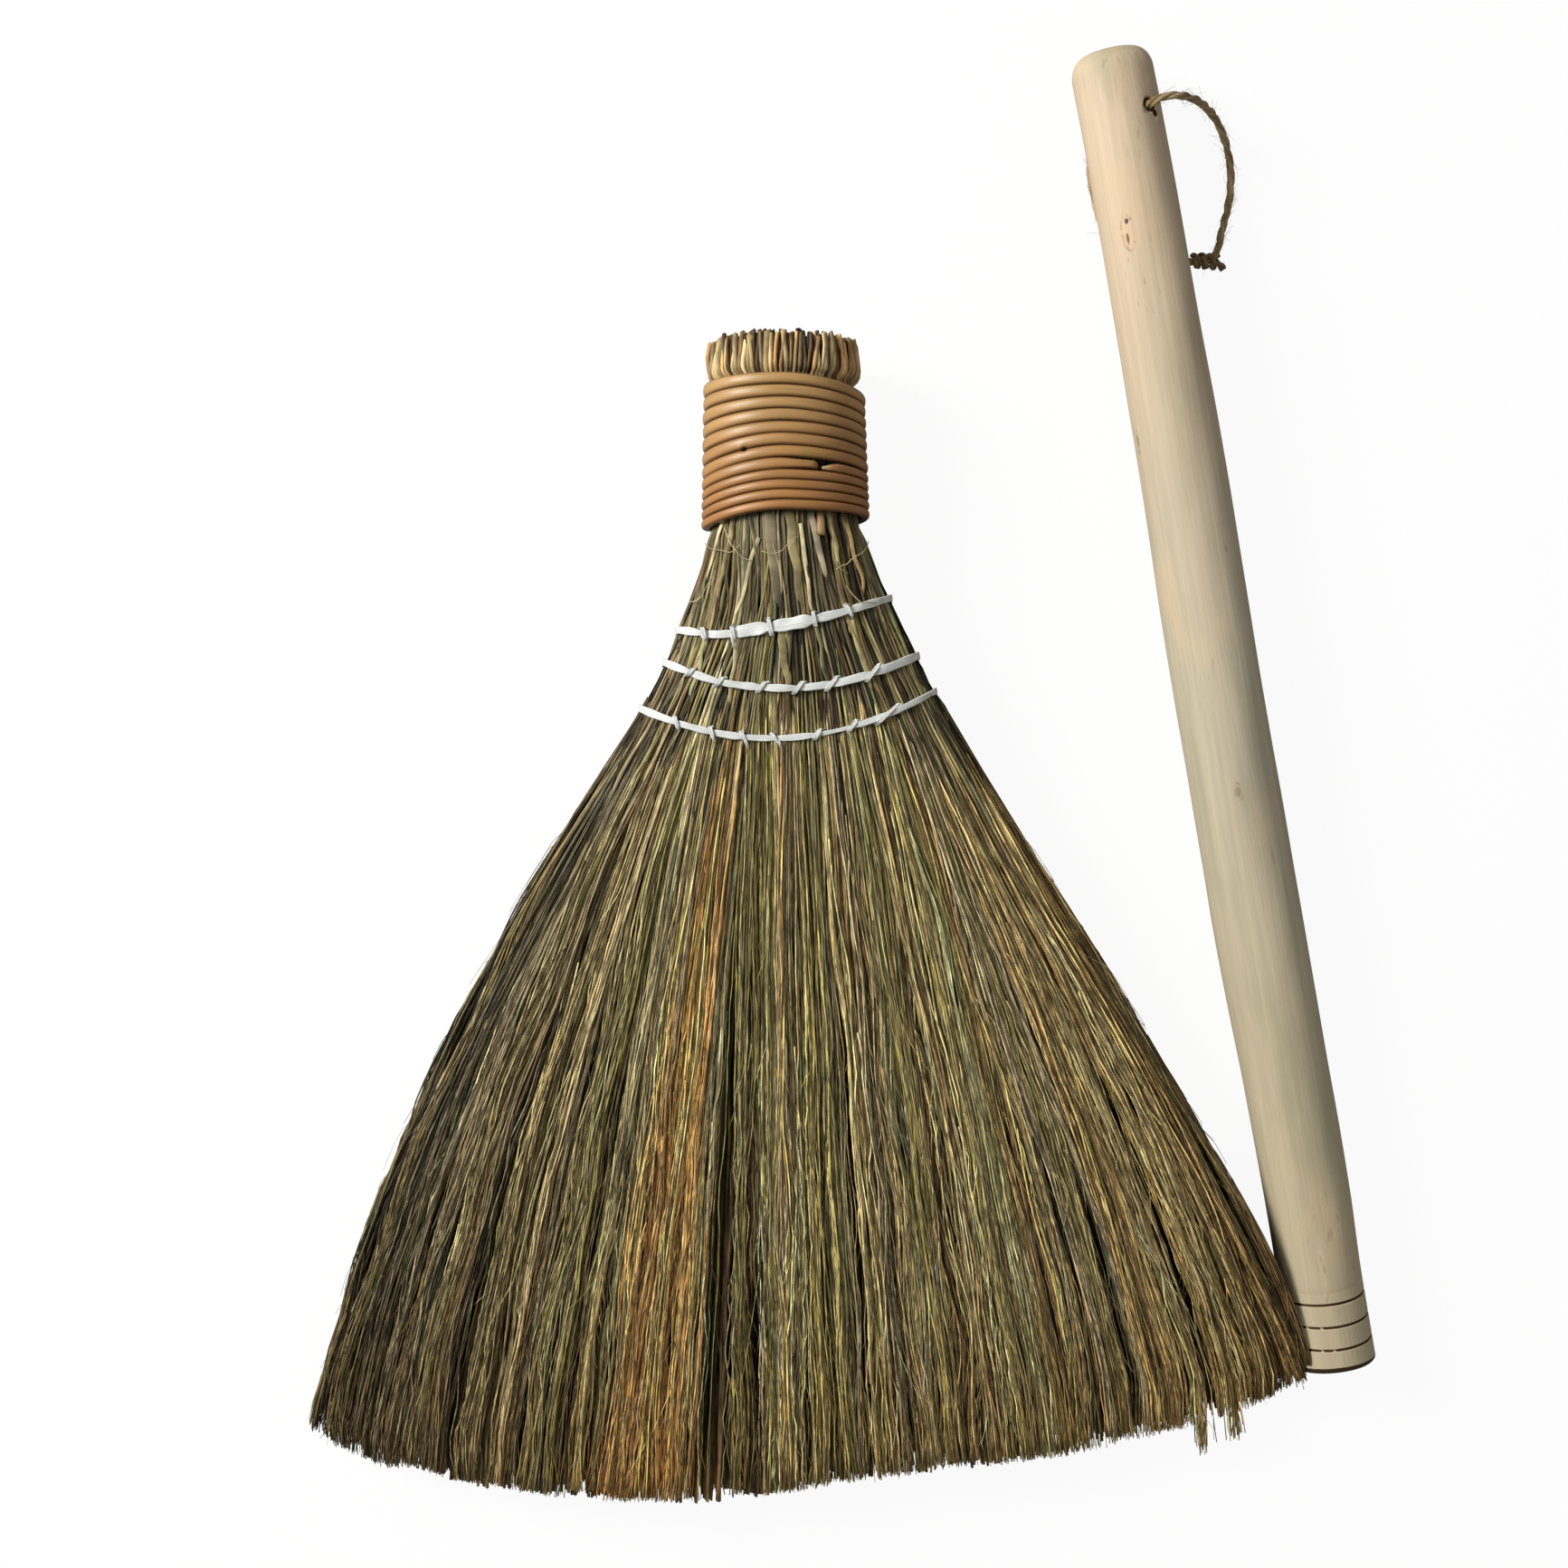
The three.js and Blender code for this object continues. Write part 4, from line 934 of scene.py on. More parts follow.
def throughStalks(dice):  # the thick ones, with their cut butts
    angle, depth = np.split(stalkPlaces(dice), 2, axis=1)
    count = len(angle)
    radius = dice.uniform(*stalks["radius"], (count, 1))
    radius = radius * np.where(dice.uniform(size=(count, 1)) < stalks["broad"], stalks["broadRadius"], 1)
    end = dice.uniform(*stalks["ends"], (count, 1))
    uneven = dice.normal(0, stalks["buttUneven"], (count, 1)).clip(*stalks["buttReach"])
    butt = buttY - stalks["buttBelow"] + uneven
    fixed = np.broadcast_to(stalks["stations"], (count, len(stalks["stations"])))
    last = mix(stalks["stations"][-1], end, np.array([[0.25, 0.5, 0.75, 1.0]]))
    y = np.concatenate([butt, butt - stalks["chamfer"], fixed, last], axis=1)
    x, z, radii = layStalks(dice, angle, depth, radius, y)
    at = np.linspace(0, 1, y.shape[1])
    fromBinding = np.abs(y - stalks["boundY"])
    loose = ease(fromBinding, *stalks["boundLoose"])  # held straight where the cane binds them
    x += wobble(dice, count, at, (1.5, 3.5), 0.45) * loose
    z += wobble(dice, count, at, (2, 4), 0.2) * loose
    x, z = heldDown(x, y, z, radii)
    above = ease(y, *stalks["leanFrom"])
    x += dice.normal(0, stalks["lean"], (count, 1)) * above
    z += dice.normal(0, stalks["lean"] * 0.5, (count, 1)) * above
    radii = radii * (1 + wobble(dice, count, at, (6, 11), 0.05))
    radii[:, 0] *= stalks["chamferRadius"]
    tint = shadeStalks(dice, stalks["colours"], count, at, depth)
    buttDepth = mix(depth, 1.0, stalks["buttDepth"])
    butts = shadeStalks(dice, stalks["buttColours"], count, at, buttDepth) * stalks["buttWarm"]
    shade = mix(stalks["shoulderShade"], stalks["neckShade"], ease(y, *stalks["neckFrom"]))
    tint = mix(tint * shade[..., None], butts, ease(y, *stalks["buttFrom"])[..., None])
    # painted shade on the stalks under the binding
    tint *= mix(stalks["boundPaintedShade"], 1.0, ease(fromBinding, *stalks["boundPaintedShadeFrom"]))[..., None]
    tint[:, 0] = straw["pith"] * dice.uniform(*stalks["pithShades"], (count, 1))
    return xyz(x, y, z), radii, tint


def fineStalks(dice):  # thinner ones between them, from under the binding
    count = stalks["fine"]
    angle = dice.uniform(-np.pi, np.pi, (count, 1))
    depth = stalks["fineDepth"] - np.abs(dice.normal(0, stalks["fineDeeper"], (count, 1)))
    radius = dice.uniform(*stalks["fineRadius"], (count, 1))
    end = dice.uniform(*stalks["fineEnds"], (count, 1))
    at = np.linspace(0, 1, stalkSteps)
    y = mix(stalks["fineTop"], end, at[None])
    x, z, radii = layStalks(dice, angle, depth, radius, y)
    free = ease(y, *stalks["freeFrom"])
    gone = dice.uniform(size=(count, 1)) < stalks["astray"]
    astray = np.where(gone, dice.normal(0, stalks["astrayReach"], (count, 1)), 0.0)
    x += wobble(dice, count, at, (2, 4), 0.55) * free + astray * np.sin(at * np.pi) * free
    within = headWide(y) - stalks["fineInside"]
    x = headX(y) + np.clip(x - headX(y), -within, within)
    z += wobble(dice, count, at, (2, 5), 0.2) * free
    x, z = heldDown(x, y, np.clip(z, faceZ(x, y, -1), faceZ(x, y, 1)), radii)
    return xyz(x, y, z), radii, shadeStalks(dice, stalks["fineColours"], count, at, depth)


def coreStalks(dice):  # the stalks whose butts are the socket's floor
    count = stalks["core"]
    turn, out = dice.uniform(0, 2 * np.pi, (count, 1)), np.sqrt(dice.uniform(0, 1, (count, 1)))
    radius = dice.uniform(*stalks["coreRadius"], (count, 1))
    top = stalks["coreTop"] - dice.uniform(0, stalks["coreUneven"], (count, 1))
    at = np.linspace(0, 1, stalkSteps)
    y = mix(top, stalks["coreEnd"], at[None])
    spread = ease(y, *stalks["coreSpread"])
    share, lift = out * np.cos(turn), out * np.sin(turn)
    inside = socketRadius - stalks["coreInside"]
    x = headX(y) + mix(inside * share, stalks["coreAcross"] * share * headWide(y), spread)
    z = headZ(y) + mix(inside * lift, stalks["coreHigh"] * lift * halfThickness(y, share), spread)
    radii = radius * mix(1.0, stalks["coreTaper"], ease(y, *stalks["coreThins"]))
    depth = np.full((count, 1), stalks["coreDepth"])
    return xyz(x, y, z), radii, shadeStalks(dice, stalks["coreColours"], count, at, depth)


def makeStalks(finish):
    dice = np.random.default_rng(stalks["seed"])
    for name, kind in (("thick", throughStalks), ("fine", fineStalks), ("core", coreStalks)):
        lines, radii, tint = kind(dice)
        spin = dice.uniform(0, np.pi, len(lines))
        tint, lengths = np.clip(tint, *tintRange), buttY - lines[..., 1]
        piece = addTubes(f"stalks_{name}", lines, radii, tint, lengths, stalks, finish, "head", spin)
        if name == "thick":
            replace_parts(piece, *neckNodes, *shoulderNodes)


# broad blades of leaf on the upper face: X and Y at both ends, width and colour
blades = [
    (-4.0, 78, -1.7, 47, 3.4, "grey"), (1.4, 78, 5.2, 49, 2.7, "khaki"),
    (7.3, 78, 12.6, 56, 2.0, "grey"), (-9.6, 78, -6.8, 59, 1.7, "grey"),
    (-7.2, 70, -14.6, 46, 1.2, "straw"), (12.4, 78, 16.2, 61, 1.5, "khaki"),
    (-14.2, 78, -19.4, 50, 1.4, "khaki"), (17.4, 78, 23.6, 52, 1.3, "tan"),
    (-17, 78, -23.4, 56, 1.1, "straw"), (4.6, 74, 8.6, 44, 1.3, "straw"),
    (-0.6, 44, 1.2, 24, 2.4, "khaki"), (9.4, 45, 13.6, 22, 1.6, "sage"),
    (-12.6, 44, -16.4, 20, 1.5, "straw"), (-22, 44, -27.6, 22, 1.3, "sage"),
    (19.4, 47, 26, 24, 1.4, "khaki"),
]
bladeLook = dict(
    steps=26, sides=12, thick=0.4, seed=25, sunk=0.2, endDives=1.2, tilt=0.25, narrows=0.55,
    shades=(0.85, 1.2), shadeUnderCaneFrom=(77, 74),
)


def strawTop(x, y):  # the upper side of the straw, round at the neck and flat at the shoulder
    share = np.clip((x - headX(y)) / headWide(y), -1, 1)
    neckZ = headZ(y) + headHigh(y) * np.sqrt(1 - share**2)
    return mix(neckZ, faceZ(x, y, 1), ease(y, stalks["spreadFrom"], stalks["spreadTo"]))


def makeBlades(finish):
    dice = np.random.default_rng(bladeLook["seed"])
    steps = bladeLook["steps"]
    at = np.linspace(0, 1, steps)
    turn = np.arange(bladeLook["sides"]) * 2 * np.pi / bladeLook["sides"]
    section = np.stack([np.cos(turn), np.sin(turn)], axis=1)
    halfThick = np.full(steps, bladeLook["thick"] / 2)
    points, tints, marks = [], [], []
    for startX, startY, endX, endY, width, colour in blades:
        x = mix(startX, endX, at) + wobbleOne(dice, at, (1, 2), 0.3) * ease(at, 0, 0.3)
        y = mix(startY, endY, at)
        z = strawTop(x, y) - bladeLook["sunk"] + wobbleOne(dice, at, (1.5, 3), 0.14)
        x, z = heldDown(x, y, z, bladeLook["thick"] / 2)
        z = z - bladeLook["endDives"] * ease(at, 0.75, 1.0)
        tilt = xyz(dice.normal(0, bladeLook["tilt"]), 0 * at, 1.0)
        wide = width / 2 * (1 - bladeLook["narrows"] * at**3)
        points.append(sweep(xyz(x, y, z), tilt, wide, halfThick, section))
        shade = straw[colour] * dice.uniform(*bladeLook["shades"])
        shade = shade * (1 + wobbleOne(dice, at, (2, 5), 0.1))[:, None]
        # painted shade where the blades run in under the binding
        tints.append(shade * mix(0.35, 1.0, ease(y, *bladeLook["shadeUnderCaneFrom"]))[:, None])
        marks.append(dice.uniform(0, 90))
    points = np.concatenate(points)
    values = tubeValues(np.stack(tints), buttY - points[:, :, 0, 1], len(section), marks)
    return addPiece("stalk_blades", points, finish, "head", values)


# loose fibres curled over the neck: X and Y of the ends, and how far the middle bows down the head
curls = [
    (-22.6, 70, -12.4, 67.6, 2.4), (-17, 73, -9.6, 64, 2.8), (13, 73, 17.6, 60, 3.4),
    (24.4, 70.6, 14.6, 61.4, 2.2), (-6.4, 66, 3.4, 70.4, 2.6), (26.6, 52, 17.4, 56.4, 2.0),
    (-20, 60, -27.4, 52.6, 2.0),
]
curlLook = dict(steps=22, radius=0.13, sides=4, lift=0.5, hump=1.0, length=12.0, lowest=0.0, seed=27)


def makeCurls(finish):
    dice = np.random.default_rng(curlLook["seed"])
    at = np.linspace(0, 1, curlLook["steps"])
    bent = np.sin(np.pi * at)
    lines = []
    for startX, startY, endX, endY, bow in curls:
        x = mix(startX, endX, at) + wobbleOne(dice, at, (1, 2), 0.5)
        y = mix(startY, endY, at) - bow * bent + wobbleOne(dice, at, (1, 2), 0.4)
        lines.append(xyz(x, y, strawTop(x, y) + curlLook["lift"] + curlLook["hump"] * bent**2))
    lines = np.stack(lines)
    radii = np.full(lines.shape[:2], curlLook["radius"])
    lengths = np.broadcast_to(at * curlLook["length"], radii.shape)
    return addTubes("loose_curls", lines, radii, straw["straw"], lengths, curlLook, finish, "head")


strawStalks = strawFinish("straw_stalks", 0.6, 9.0, 0.32)
makeStalks(strawStalks)
makeBlades(strawStalks)
makeCurls(strawStalks)


# Bristles: locks of fine strands in tufts, straight from the shoulder to the trimmed edge

fan = dict(
    rootY=(8.0, 52.0), tipMiddle=7.4, tipHalf=150.0,
    bowFrom=8.0, bowTo=(-191.0, -176.0),
    edgeBow=((11.4, 0.0), (2.6, 9.0)),  # left and right: how far the edge bows out, and how that grows
    edgeIn=4.0,
    crowd=0.38,  # how much closer together the middle strands lie at the tips
    tipHeight=20.6, tipThinning=0.5,
    # the trimmed edge as the camera sees it at a height of trimZ
    trim=[(-150, -183), (-143, -190.5), (-129, -199.6), (-102, -207.2), (-78, -210.4), (-55, -213.2),
          (-20, -213), (34, -205.8), (88, -198.4), (115, -192.4), (130, -189.4), (138, -186.4), (149, -180),
          (158, -176)],
    trimZ=10.0,
    wisps=(0.785, 0.84), wispHalf=0.013, wispReach=9.0,
)
bristle = dict(
    seed=31, sides=3, lowest=0.05, stepShown=6.0, branchShare=0.34, branchFrom=(0.1, 0.62),
    tufts=22, tuftPull=0.06, tuftTilt=3.4, tipUneven=0.7, place=1.1,
    kink=0.4, crimp=0.17, stray=0.03, strayReach=12.0, short=0.1, shortBy=12.0, cornerFrom=0.87,
    gathered=dict(top=1.0, under=0.5, core=0.0), tipLevel=dict(top=0.85, core=0.5, under=0.05),
    tipShorter=dict(top=0.0, under=0.5, core=1.8), tipWarm=np.array([0.88, 0.8, 0.7]),
    branchSpread=2.2, tipRagged=0.9, tuftPulls=(0.4, 1.4), tuftUneven=0.38, tuftDepth=0.9,
    ropes=66, ropeSteps=40, ropeGap=(0.12, 0.42), ropeDome=1.5, ropeSway=0.8, ropeEdgeShade=0.2, ropeUneven=0.42,
    ropeGapMost=0.6, ropeGapAlong=([0, 0.2, 0.85, 1], [0.3, 1, 1, 0.25]), ropeDomeFrom=(0.05, 0.4),
    shareSpread=0.003, shareMost=0.998, overStick=(0.94, 0.985), coreLevel=(0.14, 0.78),
    rootInside=1.2, rootFurtherIn=1.6, rootFurtherFrom=(20, 45), underside=0.35,
    depthMost=5.5, depthLeast=0.25, underSewing=1.6, underSewingFrom=(-20, 30),
    spread=([0, 0.3, 0.7, 1], [1.0, 0.7, 0.85, 1.3]), edgeSpread=0.6, placeHigh=0.4, taper=0.62,
    lockShades=(0.62, 1.3), strandShades=(0.25, 1.78), ropeShades=(0.76, 1.24), coreShades=(0.6, 1.0),
    bright=[(-1, 0.55), (-0.95, 1.02), (-0.5, 1.4), (-0.33, 1.86), (-0.25, 1.86), (-0.1, 1.98), (0.3, 1.98),
            (0.7, 1.86), (0.82, 2.1), (0.95, 1.0), (1, 0.62)],
    # locks, strands in a lock, steps along, least and most radius, mean depth below the face
    top=dict(locks=560, strands=6, steps=34, radius=(0.17, 0.33), depth=1.3, corner=46),
    under=dict(locks=300, strands=6, steps=16, radius=(0.2, 0.38), depth=1.5, corner=0),
    core=dict(locks=380, strands=5, steps=12, radius=(0.6, 1.1), depth=0.0, corner=0),
    colours=dict(khaki=0.34, olive=0.18, brown=0.15, grey=0.16, moss=0.06, sage=0.04, straw=0.07),
    # inner strands: dark, partly their own colour and partly painted shade of the inside, and their ends
    # painted lighter at the trimmed edge
    coreColours=dict(umber=0.7, brown=0.2, moss=0.1), tipShown=3.2,
)
# streaks of colour: place across the trimmed edge from -1 to 1, half width, strength, and how far it opens
# downwards
streaks = [
    dict(at=-0.9, half=0.16, strength=0.5, opens=0.0, colours=dict(brown=0.4, grey=0.4, umber=0.2)),
    dict(at=-0.62, half=0.025, strength=0.5, opens=0.0, colours=dict(brown=0.5, tan=0.5)),
    dict(at=-0.5, half=0.07, strength=0.2, opens=0.0, colours=dict(moss=0.5, sage=0.5)),
    dict(at=-0.31, half=0.1, strength=1.7, opens=0.75, colours=dict(orange=0.56, gold=0.4, brown=0.04)),
    dict(at=-0.165, half=0.03, strength=0.9, opens=0.0, colours=dict(moss=0.35, umber=0.55, olive=0.1)),
    dict(at=0.08, half=0.12, strength=0.4, opens=0.0, colours=dict(sage=0.3, olive=0.45, moss=0.25)),
    dict(at=0.4, half=0.1, strength=0.35, opens=0.0, colours=dict(olive=0.5, moss=0.3, khaki=0.2)),
    dict(at=0.77, half=0.1, strength=1.15, opens=0.5, colours=dict(gold=0.7, tan=0.2, khaki=0.1)),
    dict(at=0.97, half=0.07, strength=1.0, opens=0.0, colours=dict(brown=0.35, gold=0.6, olive=0.05)),
]
# partings where the dark inside shows: place across, place along from 0 to 1, half length, half width in mm
partings = [
    (-0.17, 0.8, 0.22, 3.0), (0.64, 0.8, 0.2, 2.8), (0.875, 0.75, 0.2, 2.2), (0.1, 0.62, 0.08, 1.2),
    (0.45, 0.85, 0.1, 1.9), (-0.55, 0.7, 0.12, 1.4), (-0.8, 0.75, 0.14, 1.4), (0.3, 0.9, 0.1, 1.6),
    (-0.02, 0.93, 0.1, 1.9), (-0.43, 0.85, 0.12, 1.4), (0.2, 0.7, 0.12, 1.3), (-0.68, 0.88, 0.1, 1.4),
    (0.53, 0.6, 0.1, 1.2),
]
randomPartings = dict(
    count=110, across=(-0.97, 0.97), along=(0.12, 1), halfLong=(0.04, 0.13), halfWide=(0.3, 1),
)
partingReach = 3.5
# side branches that felt the strands together, and longer loose hairs
fuzz = dict(share=0.8, steps=5, length=(5.0, 18.0), radius=(0.08, 0.15), splay=0.16, rise=0.05, fromStep=9,
            shade=(0.85, 1.35))
hairs = dict(share=0.04, steps=8, length=(14.0, 42.0), radius=(0.07, 0.11), splay=0.26, rise=0.04,
             fromStep=7, shade=(1.0, 1.7))


def rootShare(tipShare):  # where a strand that ends at tipShare leaves the shoulder
    share = tipShare.copy()
    for _ in range(12):
        share = (share + tipShare / (1 - fan["crowd"] + fan["crowd"] * share**2)) / 2
    return np.clip(share, -1, 1)


def edgeAt(y, side):  # X of the fan's left or right edge
    number = (side + 1) // 2
    bow, growth = fan["edgeBow"][number]
    s = np.clip((fan["bowFrom"] - y) / (fan["bowFrom"] - fan["bowTo"][number]), 0, 1)
    rootX = headX(fan["bowFrom"]) + side * headWide(fan["bowFrom"])
    line = mix(rootX, fan["tipMiddle"] + side * fan["tipHalf"], s)
    line = line + side * (bow + growth * s) * 4 * s * (1 - s)
    return np.where(y > fan["bowFrom"], headX(y) + side * headWide(y), line)


def trimmedY(x, z):
    nearer = np.minimum((view["height"] - z) / (view["height"] - fan["trimZ"]), 1)
    edge = smoothLine(fan["trim"], 2.0)
    return np.interp(x / nearer, edge[:, 0], edge[:, 1]) * nearer


def strandColours(dice, face, share, lock, t):
    locks, count = lock.max() + 1, len(share)
    if face == "core":
        # dark, partly the straw's own colour and partly painted shade of the inside
        tint = pickColours(dice, bristle["coreColours"], count)
        tint = tint * dice.uniform(*bristle["coreShades"], (count, 1))
        shown = mix(1.0, bristle["tipShown"], ease(t, 0.9, 0.97))  # painted light: lighter where their ends show at the trimmed edge
        return tint[:, None] * shown[..., None]
    tint = np.repeat(pickColours(dice, bristle["colours"], locks)[lock][:, None], t.shape[1], axis=1)
    for streak in streaks:
        half = streak["half"] * (1 - streak["opens"] * (1 - t))
        near = bell((share - streak["at"]) / half) * streak["strength"]
        taken = ease(near - dice.uniform(size=locks)[lock][:, None], -0.03, 0.03)
        own = pickColours(dice, streak["colours"], locks)[lock][:, None]
        tint = mix(tint, own, taken[..., None])
    own = pickColours(dice, bristle["colours"], count)[:, None]
    tint = mix(tint, own, dice.uniform(0, 0.35, (count, 1, 1)))
    tint = tint * np.interp(share, *np.array(bristle["bright"]).T)[..., None]
    tint = tint * dice.uniform(*bristle["lockShades"], (locks, 1))[lock][:, None]
    return tint * dice.uniform(*bristle["strandShades"], (count, 1, 1))


def ropeTogether(dice, share, t):  # strands gathered into ropes: new shares, sway, height and shade
    count = bristle["ropes"]
    places = np.arange(1, count) + dice.uniform(-bristle["ropeUneven"], bristle["ropeUneven"], count - 1)
    bounds = np.concatenate([[-1.02], -1 + 2 * places / count, [1.02]])
    rope = np.clip(np.searchsorted(bounds, share[:, 0]) - 1, 0, count - 1)
    middle, half = (bounds[1:] + bounds[:-1]) / 2, (bounds[1:] - bounds[:-1]) / 2
    within = (share - middle[rope][:, None]) / half[rope][:, None]
    at = np.linspace(0, 1, bristle["ropeSteps"])
    gapAlong = dice.uniform(*bristle["ropeGap"], (count, 1)) * (1 + wobble(dice, count, at, (2, 5), 0.7))
    gap = np.stack([np.interp(t[k], at, gapAlong[r]) for k, r in enumerate(rope)])
    gap = np.clip(gap, 0, bristle["ropeGapMost"]) * np.interp(t, *bristle["ropeGapAlong"])
    roped = middle[rope][:, None] + half[rope][:, None] * within * (1 - gap)
    sway = wobble(dice, count, at, (1.5, 3), bristle["ropeSway"])
    sideways = np.stack([np.interp(t[k], at, sway[r]) for k, r in enumerate(rope)])
    wide = half[rope][:, None] / half.mean()
    rise = bristle["ropeDome"] * wide * (0.6 - within**2) * ease(t, *bristle["ropeDomeFrom"])
    shade = dice.uniform(*bristle["ropeShades"], (count, 1))[rope]
    # painted shade: strands darker towards a rope's edges, along the gaps between ropes
    shade = shade * mix(1.0, bristle["ropeEdgeShade"], np.abs(within) ** 3)
    return roped, sideways, rise, shade


def tuftsAcross(dice, lockShare):  # which tuft each lock belongs to, and the tufts' middles
    count = bristle["tufts"]
    places = np.arange(1, count) + dice.uniform(-bristle["tuftUneven"], bristle["tuftUneven"], count - 1)
    bounds = np.concatenate([[-1], -1 + 2 * places / count, [1]])
    return np.searchsorted(bounds[1:-1], lockShare), (bounds[:-1] + bounds[1:]) / 2


def strandTips(dice, face, share, tuft, tuftMiddle, branch, tipZ):
    count = len(share)

    def forTuft(spread):
        return dice.normal(0, spread, bristle["tufts"])[tuft][:, None]

    middle = tuftMiddle[tuft][:, None]
    pull = bristle["tuftPull"] * dice.uniform(*bristle["tuftPulls"], bristle["tufts"])[tuft][:, None]
    pulled = mix(share, middle, pull)
    inner = 1 - np.abs(share) ** 6
    x = fan["tipMiddle"] + fan["tipHalf"] * mix(share, pulled, bristle["gathered"][face])
    x += bristle["gathered"][face] * forTuft(bristle["tuftTilt"]) * (1 - middle**4)
    x += branch * dice.normal(0, bristle["branchSpread"], (count, 1)) * inner
    if face == "top":
        stray = dice.uniform(size=(count, 1)) < bristle["stray"]
        x += stray * dice.normal(0, bristle["strayReach"], (count, 1)) * inner
        x = np.clip(x, fan["tipMiddle"] - fan["tipHalf"], fan["tipMiddle"] + fan["tipHalf"])
    y = trimmedY(x, tipZ) + forTuft(bristle["tipUneven"])
    y = y + np.abs(dice.normal(0, bristle["tipRagged"], (count, 1)))
    short = dice.uniform(size=(count, 1)) < bristle["short"]
    y += np.where(short, dice.uniform(0, bristle["shortBy"], (count, 1)), 0) + bristle["tipShorter"][face]
    if face == "top":
        for place in fan["wisps"]:
            drawn = (np.abs(share - place) < fan["wispHalf"]) * dice.uniform(0.3, 1, (count, 1)) ** 0.5
            x = mix(x, fan["tipMiddle"] + fan["tipHalf"] * place, 0.55 * drawn)
            y -= fan["wispReach"] * drawn
    return x, y


def growBristles(face):
    kind = bristle[face]
    dice = np.random.default_rng(bristle["seed"] + kind["steps"])
    locks = kind["locks"] + kind["corner"]
    lockShare = -1 + 2 * (np.arange(locks) + dice.uniform(0, 1, locks)) / kind["locks"]
    # more in the corner on the stick
    lockShare[kind["locks"]:] = dice.uniform(bristle["cornerFrom"], 1, kind["corner"])
    tuftOf, tuftMiddle = tuftsAcross(dice, lockShare)
    lock = np.repeat(np.arange(locks), kind["strands"])
    count, steps, tuft = len(lock), kind["steps"], tuftOf[lock]
    share = lockShare[lock] + dice.normal(0, bristle["shareSpread"], count)
    share = np.clip(share, -bristle["shareMost"], bristle["shareMost"])[:, None]
    branch = dice.uniform(size=(count, 1)) < bristle["branchShare"]
    start = np.where(branch, dice.uniform(*bristle["branchFrom"], (count, 1)), 0.0)
    t = start + (1 - start) * np.linspace(0, 1, steps)[None]
    # root and tip on the plan
    rootY = dice.uniform(*fan["rootY"], (count, 1))
    root = rootShare(share)
    further = bristle["rootFurtherIn"] * ease(rootY, *bristle["rootFurtherFrom"])
    rootX = headX(rootY) + root * (headWide(rootY) - bristle["rootInside"] - further)
    tipHeight = fan["tipHeight"] * (1 - fan["tipThinning"] * np.abs(share) ** 3)
    tipZ = tipHeight * bristle["tipLevel"][face]
    if face == "top":
        tipZ = mix(tipZ, stickFoot[2] + stick["plugRadius"] + 1, ease(share, *bristle["overStick"]))
    tipX, tipY = strandTips(dice, face, share, tuft, tuftMiddle, branch, tipZ)
    x, y = mix(rootX, tipX, t), mix(rootY, tipY, t)
    roped, sideways, rise, shade = ropeTogether(dice, share, t)
    gathered = bristle["gathered"][face]
    x += gathered * (roped - share) * (headWide(rootY) * (1 - t) + fan["tipHalf"] * t)
    x += gathered * sideways * ease(t, 0, 0.4)
    for side in (-1, 1):
        rootEdge = headX(rootY) + side * headWide(rootY)
        straight = mix(rootEdge, fan["tipMiddle"] + side * fan["tipHalf"], t)
        x += np.clip(side * root, 0, 1) ** 3 * (edgeAt(y, side) - straight)
    # height: two faces over a looser core
    rootHalf = halfThickness(rootY, root)
    high = mix(headZ(rootY) + rootHalf, tipHeight, t)
    low = mix(headZ(rootY) - rootHalf, bristle["underside"], t)
    if face == "core":
        z = mix(low, high, dice.uniform(*bristle["coreLevel"], locks)[lock][:, None])
    else:
        depth = np.minimum(dice.exponential(kind["depth"], locks), bristle["depthMost"])
        depth = depth[lock][:, None] + bristle["depthLeast"]
        depth = depth + bristle["underSewing"] * ease(y, *bristle["underSewingFrom"])
        depth = depth + dice.normal(0, bristle["tuftDepth"], bristle["tufts"])[tuft][:, None] * t
        depth = np.clip(depth - rise, 0.1, (high - low) * 0.45)
        z = high - depth if face == "top" else low + depth
    # each strand's place in its lock, and its kinks
    at = np.linspace(0, 1, steps)
    spread = np.interp(t, *bristle["spread"])
    edge = 1 - bristle["edgeSpread"] * np.abs(share) ** 8
    x += dice.uniform(-1, 1, (count, 1)) * bristle["place"] * spread * edge
    z += dice.normal(0, bristle["placeHigh"], (count, 1)) * spread
    x += wobble(dice, count, at, (3, 6), bristle["kink"]) * ease(t, -0.1, 0.7)
    z += wobble(dice, count, at, (3, 7), bristle["kink"] * 0.6) * ease(t, 0, 0.8)
    x += dice.normal(0, bristle["crimp"], x.shape) * ease(t, 0, 0.5)
    x = openPartings(dice, x, t, share, face)
    inside = fan["edgeIn"] * dice.uniform(0, 1, (count, 1)) ** 2 * ease(t, 0, 0.3)
    x = np.clip(x, edgeAt(y, -1) + inside, edgeAt(y, 1) - inside)
    radii = dice.uniform(*kind["radius"], (count, 1)) * mix(1.0, bristle["taper"], t**1.3)
    x, z = heldDown(x, y, z, radii)
    x, z = clearStick(x, y, np.clip(z, radii + 0.12, None), radii, face)
    tint = strandColours(dice, face, share, lock, t) * shade[..., None]
    tint = tint * (1 + wobble(dice, count, at, (2, 5, 9), 0.14))[..., None]
    tint = mix(tint, tint * bristle["tipWarm"], ease(t, 0.75, 1.05)[..., None])
    return xyz(x, y, z), radii, np.clip(tint, *tintRange), root[:, 0]


